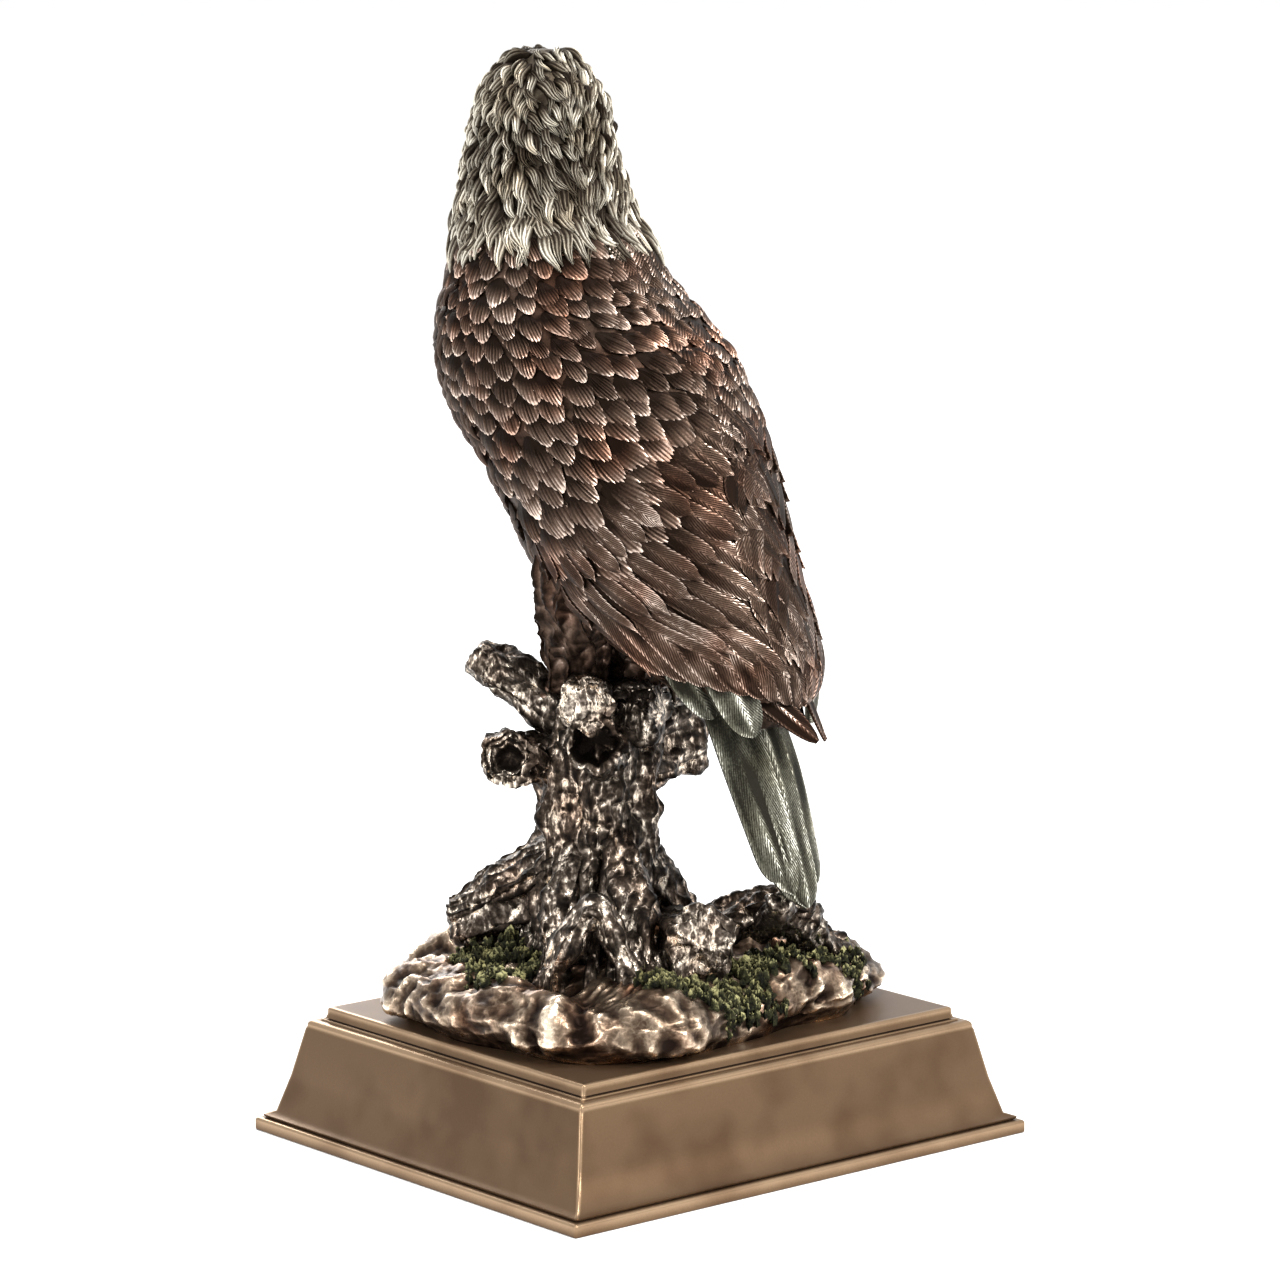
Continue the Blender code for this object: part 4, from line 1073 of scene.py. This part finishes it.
NECK_DEEP = (0.010, 0.006, 0.003)
NECK_SHADE = (0.070, 0.056, 0.040)
NECK_BODY = (0.210, 0.185, 0.145)
NECK_BRIGHT = (0.80, 0.76, 0.66)
NAPE_ANGLES = (-180, -120, -60, -10, 15, 40, 58, 75, 100, 140, 180)
NAPE_TURNS = (0, -10, -12, -10, 8, 30, 28, -8, -15, -10, 0)
RUFF_TURNS = (0, -6, -16, -14, 2, 18, 26, 30, 30, 14, 0)


def neck_flow(height, angle):
    """The locks' turn from straight down: parted at the nape above, swept to the spine's side below."""
    degrees = (np.degrees(angle) + 180) % 360 - 180
    above = np.interp(degrees, NAPE_ANGLES, NAPE_TURNS)
    below = np.interp(degrees, NAPE_ANGLES, RUFF_TURNS)
    return np.radians(below + (above - below) * ramp(height, 262, 276))


def lock_plan(v, u, phase=0.0, swing=0.45):
    """A narrow lock that swings from side to side once, by a sine, and ends in a point."""
    shape = np.clip(1 - v**2, 0.03, 1) ** 0.8 * (0.45 + 0.55 * ramp(v, 0, 0.3))
    return 0.0, u * shape + swing * np.sin(2.1 * math.pi * v + phase)


def strand_relief(v, u, shade, lift):
    """A lock of three strands: two grooves run down it between its crest and its edges."""
    groove = np.cos(3 * math.pi * u)
    rise = lift * np.sin(math.pi * np.clip(v, 0, 1)) ** 0.8 * (0.45 + 0.55 * (1 - u**2))
    out = rise + 0.30 * groove * ramp(v, 0.0, 0.3) + 1.0 * v - 0.5
    rub_and_painted_light = 0.35 + shade + 0.36 * groove + 0.26 * ramp(v, 0.3, 0.9) - 0.20 * u**2
    # Painted shade: the rub goes to nothing at the root, under the locks above.
    return out, rub_and_painted_light * ramp(v, 0.02, 0.5)


def scatter(low, high, first, last, spacing, drop, random):
    """Roots over a band of the coat, in rows, each with a little random shift."""
    roots = []
    for row, height in enumerate(np.arange(high, low, -drop)):
        angle = first + 0.5 * (row % 2) * spacing / 30
        while angle < last:
            ahead = np.linalg.norm(coat(height, angle + 0.01) - coat(height, angle)) / 0.01
            roots.append((height, angle))
            angle += spacing / max(ahead, 6.0)
    roots = np.array(roots)
    roots[:, 0] += random.normal(0, 0.3 * drop, len(roots))
    roots[:, 1] += random.normal(0, 0.04, len(roots))
    return roots


random = np.random.default_rng(12)
roots = scatter(268, 325, -math.pi, math.pi, 3.2, 3.3, random)
tufts = np.column_stack([random.uniform(309, 325, 110), random.uniform(-math.pi, math.pi, 110)])
roots = np.concatenate([roots, tufts])
roots[:, 0] = np.minimum(roots[:, 0], 324.8)
jitter = random.normal(0, 0.22, len(roots))
grow = 0.74 + 0.46 * ramp(roots[:, 0], 300, 266)
grow *= random.uniform(0.75, 1.25, len(roots))
shade = random.normal(0, 0.17, (len(roots), 1, 1))
phase = random.uniform(-1.2, 1.2, (len(roots), 1, 1))
lift = random.uniform(1.0, 3.2, (len(roots), 1, 1))
neck_locks = lay_feathers(
    coat, *roots.T, lambda h, a: neck_flow(h, a) + jitter, 13.5 * grow, 4.6 * grow,
    lambda v, u: lock_plan(v, u, phase, 0.34), lambda v, u: strand_relief(v, u, shade, lift),
    columns=7, rows=9,
)
pale_head = rubbed_paint(
    "ivory_hackles",
    ((0.08, NECK_DEEP), (0.34, NECK_SHADE), (0.58, NECK_BODY), (1.0, NECK_BRIGHT)),
    stain=(0.80, 0.72, 0.62),
    stain_share=0.75,
    grain=1500.0,
    cloud=75.0,
    gloss=(0.58, 0.42),
    metal=(0.5, 0.7),
)
head_skin = (skin[None, collar - 2 :], skin_rub[None, collar - 2 :])
neck_piece = make_mesh("neck_locks", placed([neck_locks, head_skin]), pale_head)
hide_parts("eagle_on_stump")

# The breast and flanks: small dark locks from the throat down between the wings to the belly,
# finer than the wing feathers and hardly rubbed, dark as down and as painted shade beside the wings.


def lock_relief(v, u):
    """A rounded strand with a crest down its middle, which lifts off the coat before its point."""
    crest = 1 - np.abs(u)
    out = 1.5 * (np.sin(math.pi * np.clip(v, 0, 1)) ** 0.8) * (0.35 + 0.65 * crest) + 0.9 * v - 0.5
    rub_and_painted_light = 0.04 + 0.70 * crest * ramp(v, 0.05, 0.4) + 0.16 * ramp(v, 0.5, 0.9)
    return out, rub_and_painted_light


def breast_relief(v, u):
    """A lock held a little off the coat, with most of its rub gone: dark as down and as painted shade."""
    out, rub_and_painted_light = lock_relief(v, u)
    return out + 0.2 * WING_PROUD, 0.62 * rub_and_painted_light


roots = np.concatenate(
    [
        scatter(142, 256, math.radians(-150), math.radians(-30), 6.2, 6.4, random),
        scatter(118, 150, math.radians(-170), math.radians(-10), 7.0, 7.0, random),
    ]
)
roots = roots[np.degrees(roots[:, 1]) < -26]
jitter = random.normal(0, 0.22, len(roots))
breast_locks = lay_feathers(
    coat, *roots.T, lambda h, a: jitter, 13 * random.uniform(0.8, 1.2, len(roots)), 6.2,
    lock_plan, breast_relief, columns=5, rows=9,
)
breast_piece = make_mesh("breast_locks", placed([breast_locks]), plumage)
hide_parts("eagle_on_stump")

# The face: an egg of a skull under short locks that run back from the bill over the cheeks, with a
# heavy brow over each eye. It is turned to the eagle's right and painted as the neck.

SKULL_CENTRE = np.array((0.0, -28.0, 304.5))
HEAD_TURN = math.radians(-34)


def in_eagle(points):
    """The head's axes, whose -Y is the bill's direction, turned on the neck."""
    points = np.asarray(points, float)
    c, s = math.cos(HEAD_TURN), math.sin(HEAD_TURN)
    x = points[..., 0] * c - points[..., 1] * s
    y = points[..., 0] * s + points[..., 1] * c
    return np.stack([x, y, points[..., 2]], axis=-1) + SKULL_CENTRE


def ball(centre, size, rub_and_painted_light):
    """An ellipsoid in the head's axes, all of one rub."""
    rings = globe(22, 30, 0.03) * np.array(size) + np.array(centre)
    return rings[None], np.full((1, 22, 30), rub_and_painted_light)


def face(height, angle):
    """The face's egg: an ellipse at each height over the skull's middle, deeper towards the bill."""
    height, angle = np.broadcast_arrays(np.asarray(height, float), np.asarray(angle, float))
    girth = np.sqrt(np.clip(1 - (height / 19.5) ** 2, 0.02, 1))
    y = -6 + 21.5 * girth * np.sin(angle)
    narrow = 1 - 0.22 * ramp(-y, 8, 27)
    x = 18.2 * girth * narrow * np.cos(angle)
    return np.stack([x, y, height], axis=-1)


def cheek_relief(v, u):
    """A lock, lower than the neck's."""
    out, rub_and_painted_light = lock_relief(v, u)
    return 0.62 * out, rub_and_painted_light


head_height = np.linspace(-18.5, 18.8, 44)[:, None]
head_angle = np.linspace(-math.pi, math.pi, 64, endpoint=False)[None, :]
egg = face(head_height, head_angle)
face_lofts = [(egg[None], np.full(egg[None].shape[:3], 0.25))]
roots = [(h, math.radians(a)) for h in np.arange(-15, 18, 2.9) for a in np.arange(-76, 40, 8.5)]
roots = np.array(roots) + random.normal(0, 0.03, (len(roots), 2)) * (18, 1)
near_eye = np.hypot(roots[:, 0] - 3.0, np.degrees(roots[:, 1]) / 4 + 9.5) < 2.6
roots = roots[~near_eye]
swept = np.radians(72) + random.normal(0, 0.12, len(roots))
cheek = lay_feathers(face, *roots.T, lambda h, a: swept, 8.5, 3.4, lock_plan, cheek_relief, columns=5, rows=8)
face_lofts += [cheek, mirrored(cheek)]
for side in (1, -1):
    face_lofts.append(ball((side * 11.8, -17.5, 6.6), (4.6, 9.5, 2.4), 0.5))
face_lofts = [(in_eagle(rings), rub_and_painted_light) for rings, rub_and_painted_light in face_lofts]
face_piece = make_mesh("face_locks", placed(face_lofts), pale_head)
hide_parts("eagle_on_stump")

# The bill and eyes: the hooked upper bill with its nostrils, the lower bill, and an eye in a socket
# on each side. They are smooth, cast with the head, and painted a plain brown bronze.

UPPER_LINE = ((0, -20, -1.5), (0, -33, -1.0), (0, -41, -6), (0, -42.5, -14.5))
UPPER_KNOTS = (0, 0.4, 0.8, 1.0)
UPPER_TALL = (9.2, 8.2, 4.4, 0.8)
UPPER_WIDE = (7.4, 5.8, 3.0, 0.7)
LOWER_LINE = ((0, -20, -9.5), (0, -27, -10.5), (0, -34.5, -11.0))
LOWER_KNOTS = (0, 0.6, 1.0)
LOWER_TALL = (3.9, 3.1, 0.9)
LOWER_WIDE = (5.9, 4.6, 1.3)
BILL_HOLLOW = (0.02, 0.014, 0.01)
BILL_DEEP = (0.045, 0.032, 0.022)
BILL_BRIGHT = (0.46, 0.36, 0.26)


def bill(line, knots, tall, wide, rows, around, rub_and_painted_light):
    """Half of the bill: an ellipse carried along a bent line, its half sizes set at a few knots."""
    t = np.linspace(0, 1, rows)
    ring = np.linspace(0, 2 * math.pi, around, endpoint=False)
    path = through(np.linspace(0, 1, len(line)), line, t)
    tall, wide = through(knots, tall, t), through(knots, wide, t)
    way = np.gradient(path, axis=0)
    way /= np.linalg.norm(way, axis=1)[:, None]
    up = np.cross((1.0, 0.0, 0.0), way)
    up *= np.sign(up[0, 2])
    across = np.array([1.0, 0, 0]) * (wide[:, None] * np.cos(ring))[..., None]
    rings = path[:, None] + across + up[:, None] * (tall[:, None] * np.sin(ring))[..., None]
    return rings[None], np.full((1, rows, around), rub_and_painted_light)


bill_lofts = [
    bill(UPPER_LINE, UPPER_KNOTS, UPPER_TALL, UPPER_WIDE, 40, 36, 0.62),
    bill(LOWER_LINE, LOWER_KNOTS, LOWER_TALL, LOWER_WIDE, 24, 28, 0.5),
]
for side in (1, -1):
    bill_lofts.append(ball((side * 12.4, -18.0, 2.2), (3.3, 3.5, 3.3), 0.35))
    bill_lofts.append(ball((side * 14.2, -19.6, 2.3), (1.9, 1.7, 1.7), 0.95))
    # The nostrils: small balls painted near black as the shade of their openings.
    bill_lofts.append(ball((side * 5.9, -29.5, 1.6), (0.9, 1.7, 0.9), 0.0))
bill_lofts = [(in_eagle(rings), rub_and_painted_light) for rings, rub_and_painted_light in bill_lofts]
bill_bronze = rubbed_paint(
    "bill_bronze",
    ((0.0, BILL_HOLLOW), (0.4, BILL_DEEP), (1.0, BILL_BRIGHT)),
    stain=(0.75, 0.65, 0.5),
    stain_share=0.5,
    grain=1100.0,
    cloud=90.0,
    gloss=(0.40, 0.24),
    metal=(0.5, 0.9),
    bump=0.05,
)
bill_piece = make_mesh("bill_and_eyes", placed(bill_lofts), bill_bronze)
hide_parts("eagle_on_stump")

# The legs: the lower belly, feathered thighs, and scaly toes spread over the perch. They are cast
# with the stump and painted as the plumage, the belly and thighs less rubbed and darker with painted shade
# under the wings.

BELLY = ((0, 18, 152), (0, 12, 131), (0, 9, 112))
BELLY_RADII = (23, 18.0, 10.0)
THIGH = ((21, 12, 168), (22, 7, 150), (20.5, 3, 132), (20, 2, 114))
THIGH_RADII = (21, 19.0, 15.0, 10.5)
FOOT = (20.0, 1.0, 112.5)
TOE_SPREADS = (-30, 0, 24, 180)
TOE_LENGTHS = (14, 14, 8, 6)
TOE_RADII = (5.0, 3.8, 3.3)


def downy(path, radii, sides, rows, seed, fainter_with_painted_shade):
    """A limb with long fine down in place of bark, less rubbed and darker with painted shade."""
    path = in_stump(np.array(path, float))
    grid, rub_and_painted_light = barked(path, radii, sides, rows, seed, flutes=9, depth=0.05, rough=1.2, fibre=0.2)
    return on_seat(grid)[None], rub_and_painted_light[None] - fainter_with_painted_shade


def toe_lines():
    """For each toe its line, from the shank to the tip, and the line of the talon that goes on from it."""
    lines = []
    for side in (1, -1):
        foot = np.array(FOOT) * (side, 1, 1)
        for spread, length in zip(TOE_SPREADS, TOE_LENGTHS):
            angle = math.radians(spread - 90)
            way = np.array((math.cos(angle), math.sin(angle), 0.0))
            tip = foot + way * length + (0, 0, -1.2)
            bend, point = foot + way * (length + 5), foot + way * (length + 6.5)
            toe = in_stump(np.array([foot + (0, 0, 3), foot + way * 0.55 * length + (0, 0, 1.6), tip]))
            talon = in_stump(np.array([tip, bend + (0, 0, -2.2), point + (0, 0, -8.5)]))
            lines.append((toe, talon))
    return lines


leg_lofts = [downy(BELLY, BELLY_RADII, 70, 90, 58, 0.2)]
for side in (1, -1):
    leg_lofts.append(downy(np.array(THIGH) * (side, 1, 1), THIGH_RADII, 110, 56, 60 + side, 0.14))
for toe, _ in toe_lines():
    grid, rub_and_painted_light = barked(toe, TOE_RADII, 28, 26, seed=70, flutes=2, depth=0.03, rough=0.25)
    scute = 0.35 * np.abs(np.sin(np.arange(len(grid)) * 0.9))[:, None]
    grid = grid + grid_normals(grid) * scute[..., None]
    leg_lofts.append((on_seat(grid)[None], rub_and_painted_light[None] + 0.3 * scute - 0.12))
leg_piece = make_mesh("thighs_and_toes", leg_lofts, plumage)
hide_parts("eagle_on_stump")

# The talons: one smooth curved claw at each toe's tip, which bends down over the perch. They are
# cast with the toes and painted as the bill.

TALON_RADII = (2.7, 1.9, 0.6)
TALON_RUB = 0.3

claw_lofts = []
for _, talon in toe_lines():
    grid, _ = barked(talon, TALON_RADII, 16, 18, seed=80, flutes=2, depth=0.0, rough=0.03)
    claw_lofts.append((on_seat(grid)[None], np.full((1, *grid.shape[:2]), TALON_RUB)))
claw_piece = make_mesh("talons", claw_lofts, bill_bronze)
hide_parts("eagle_on_stump")

# The stage: a plain pale floor, soft studio light from all round with a key light over the
# camera's left shoulder, and the camera where the photograph was taken from.

CAMERA_PLACE = Vector((1.0798, 1.2800, 0.4557))
CAMERA_YAW = math.radians(-130.155)
CAMERA_DOWN = math.radians(9.642)
CAMERA_LENS = 141.26


def area_light(name, place, aim, size, power, tint):
    """A square softbox at a place, turned to an aim."""
    made = bpy.data.objects.new(name, bpy.data.lights.new(name, "AREA"))
    made.data.shape = "SQUARE"
    made.data.size = size
    made.data.energy = power
    made.data.color = tint
    made.location = place
    made.rotation_mode = "QUATERNION"
    made.rotation_quaternion = (Vector(aim) - Vector(place)).to_track_quat("-Z", "Y")
    bpy.context.scene.collection.objects.link(made)
    return made


floor_mesh = bpy.data.meshes.new("floor")
floor_mesh.from_pydata([(-60, -60, 0), (60, -60, 0), (60, 60, 0), (-60, 60, 0)], [], [(0, 1, 2, 3)])
floor = bpy.data.objects.new("floor", floor_mesh)
bpy.context.scene.collection.objects.link(floor)
floor_paint = bpy.data.materials.new("pale_floor")
floor_paint.use_nodes = True
floor_shader = floor_paint.node_tree.nodes["Principled BSDF"]
floor_shader.inputs["Base Color"].default_value = (0.90, 0.90, 0.90, 1)
floor_shader.inputs["Roughness"].default_value = 0.9
floor_mesh.materials.append(floor_paint)

area_light("key", (-0.5, 1.9, 1.5), (0, 0, 0.2), 0.8, 52, (1.0, 0.99, 0.97))
area_light("fill", (1.9, -0.1, 1.0), (0, 0, 0.2), 0.9, 20, (0.97, 0.98, 1.0))
area_light("top", (0.0, 0.2, 1.9), (0, 0, 0.2), 0.7, 22, (1.0, 1.0, 1.0))
area_light("front", (-0.6, -1.8, 1.0), (0, 0, 0.2), 1.0, 26, (1.0, 0.99, 0.97))

world = bpy.data.worlds.new("studio")
world.use_nodes = True
world.node_tree.nodes["Background"].inputs["Color"].default_value = (1.0, 1.0, 1.0, 1)
world.node_tree.nodes["Background"].inputs["Strength"].default_value = 1.1
bpy.context.scene.world = world
bpy.context.scene.view_settings.view_transform = "Standard"

camera = bpy.data.objects.new("camera", bpy.data.cameras.new("camera"))
camera.data.sensor_width = 36.0
camera.data.lens = CAMERA_LENS
camera.location = CAMERA_PLACE
look = Vector(
    (
        math.cos(CAMERA_YAW) * math.cos(CAMERA_DOWN),
        math.sin(CAMERA_YAW) * math.cos(CAMERA_DOWN),
        -math.sin(CAMERA_DOWN),
    )
)
camera.rotation_mode = "QUATERNION"
camera.rotation_quaternion = look.to_track_quat("-Z", "Y")
bpy.context.scene.collection.objects.link(camera)
bpy.context.scene.camera = camera
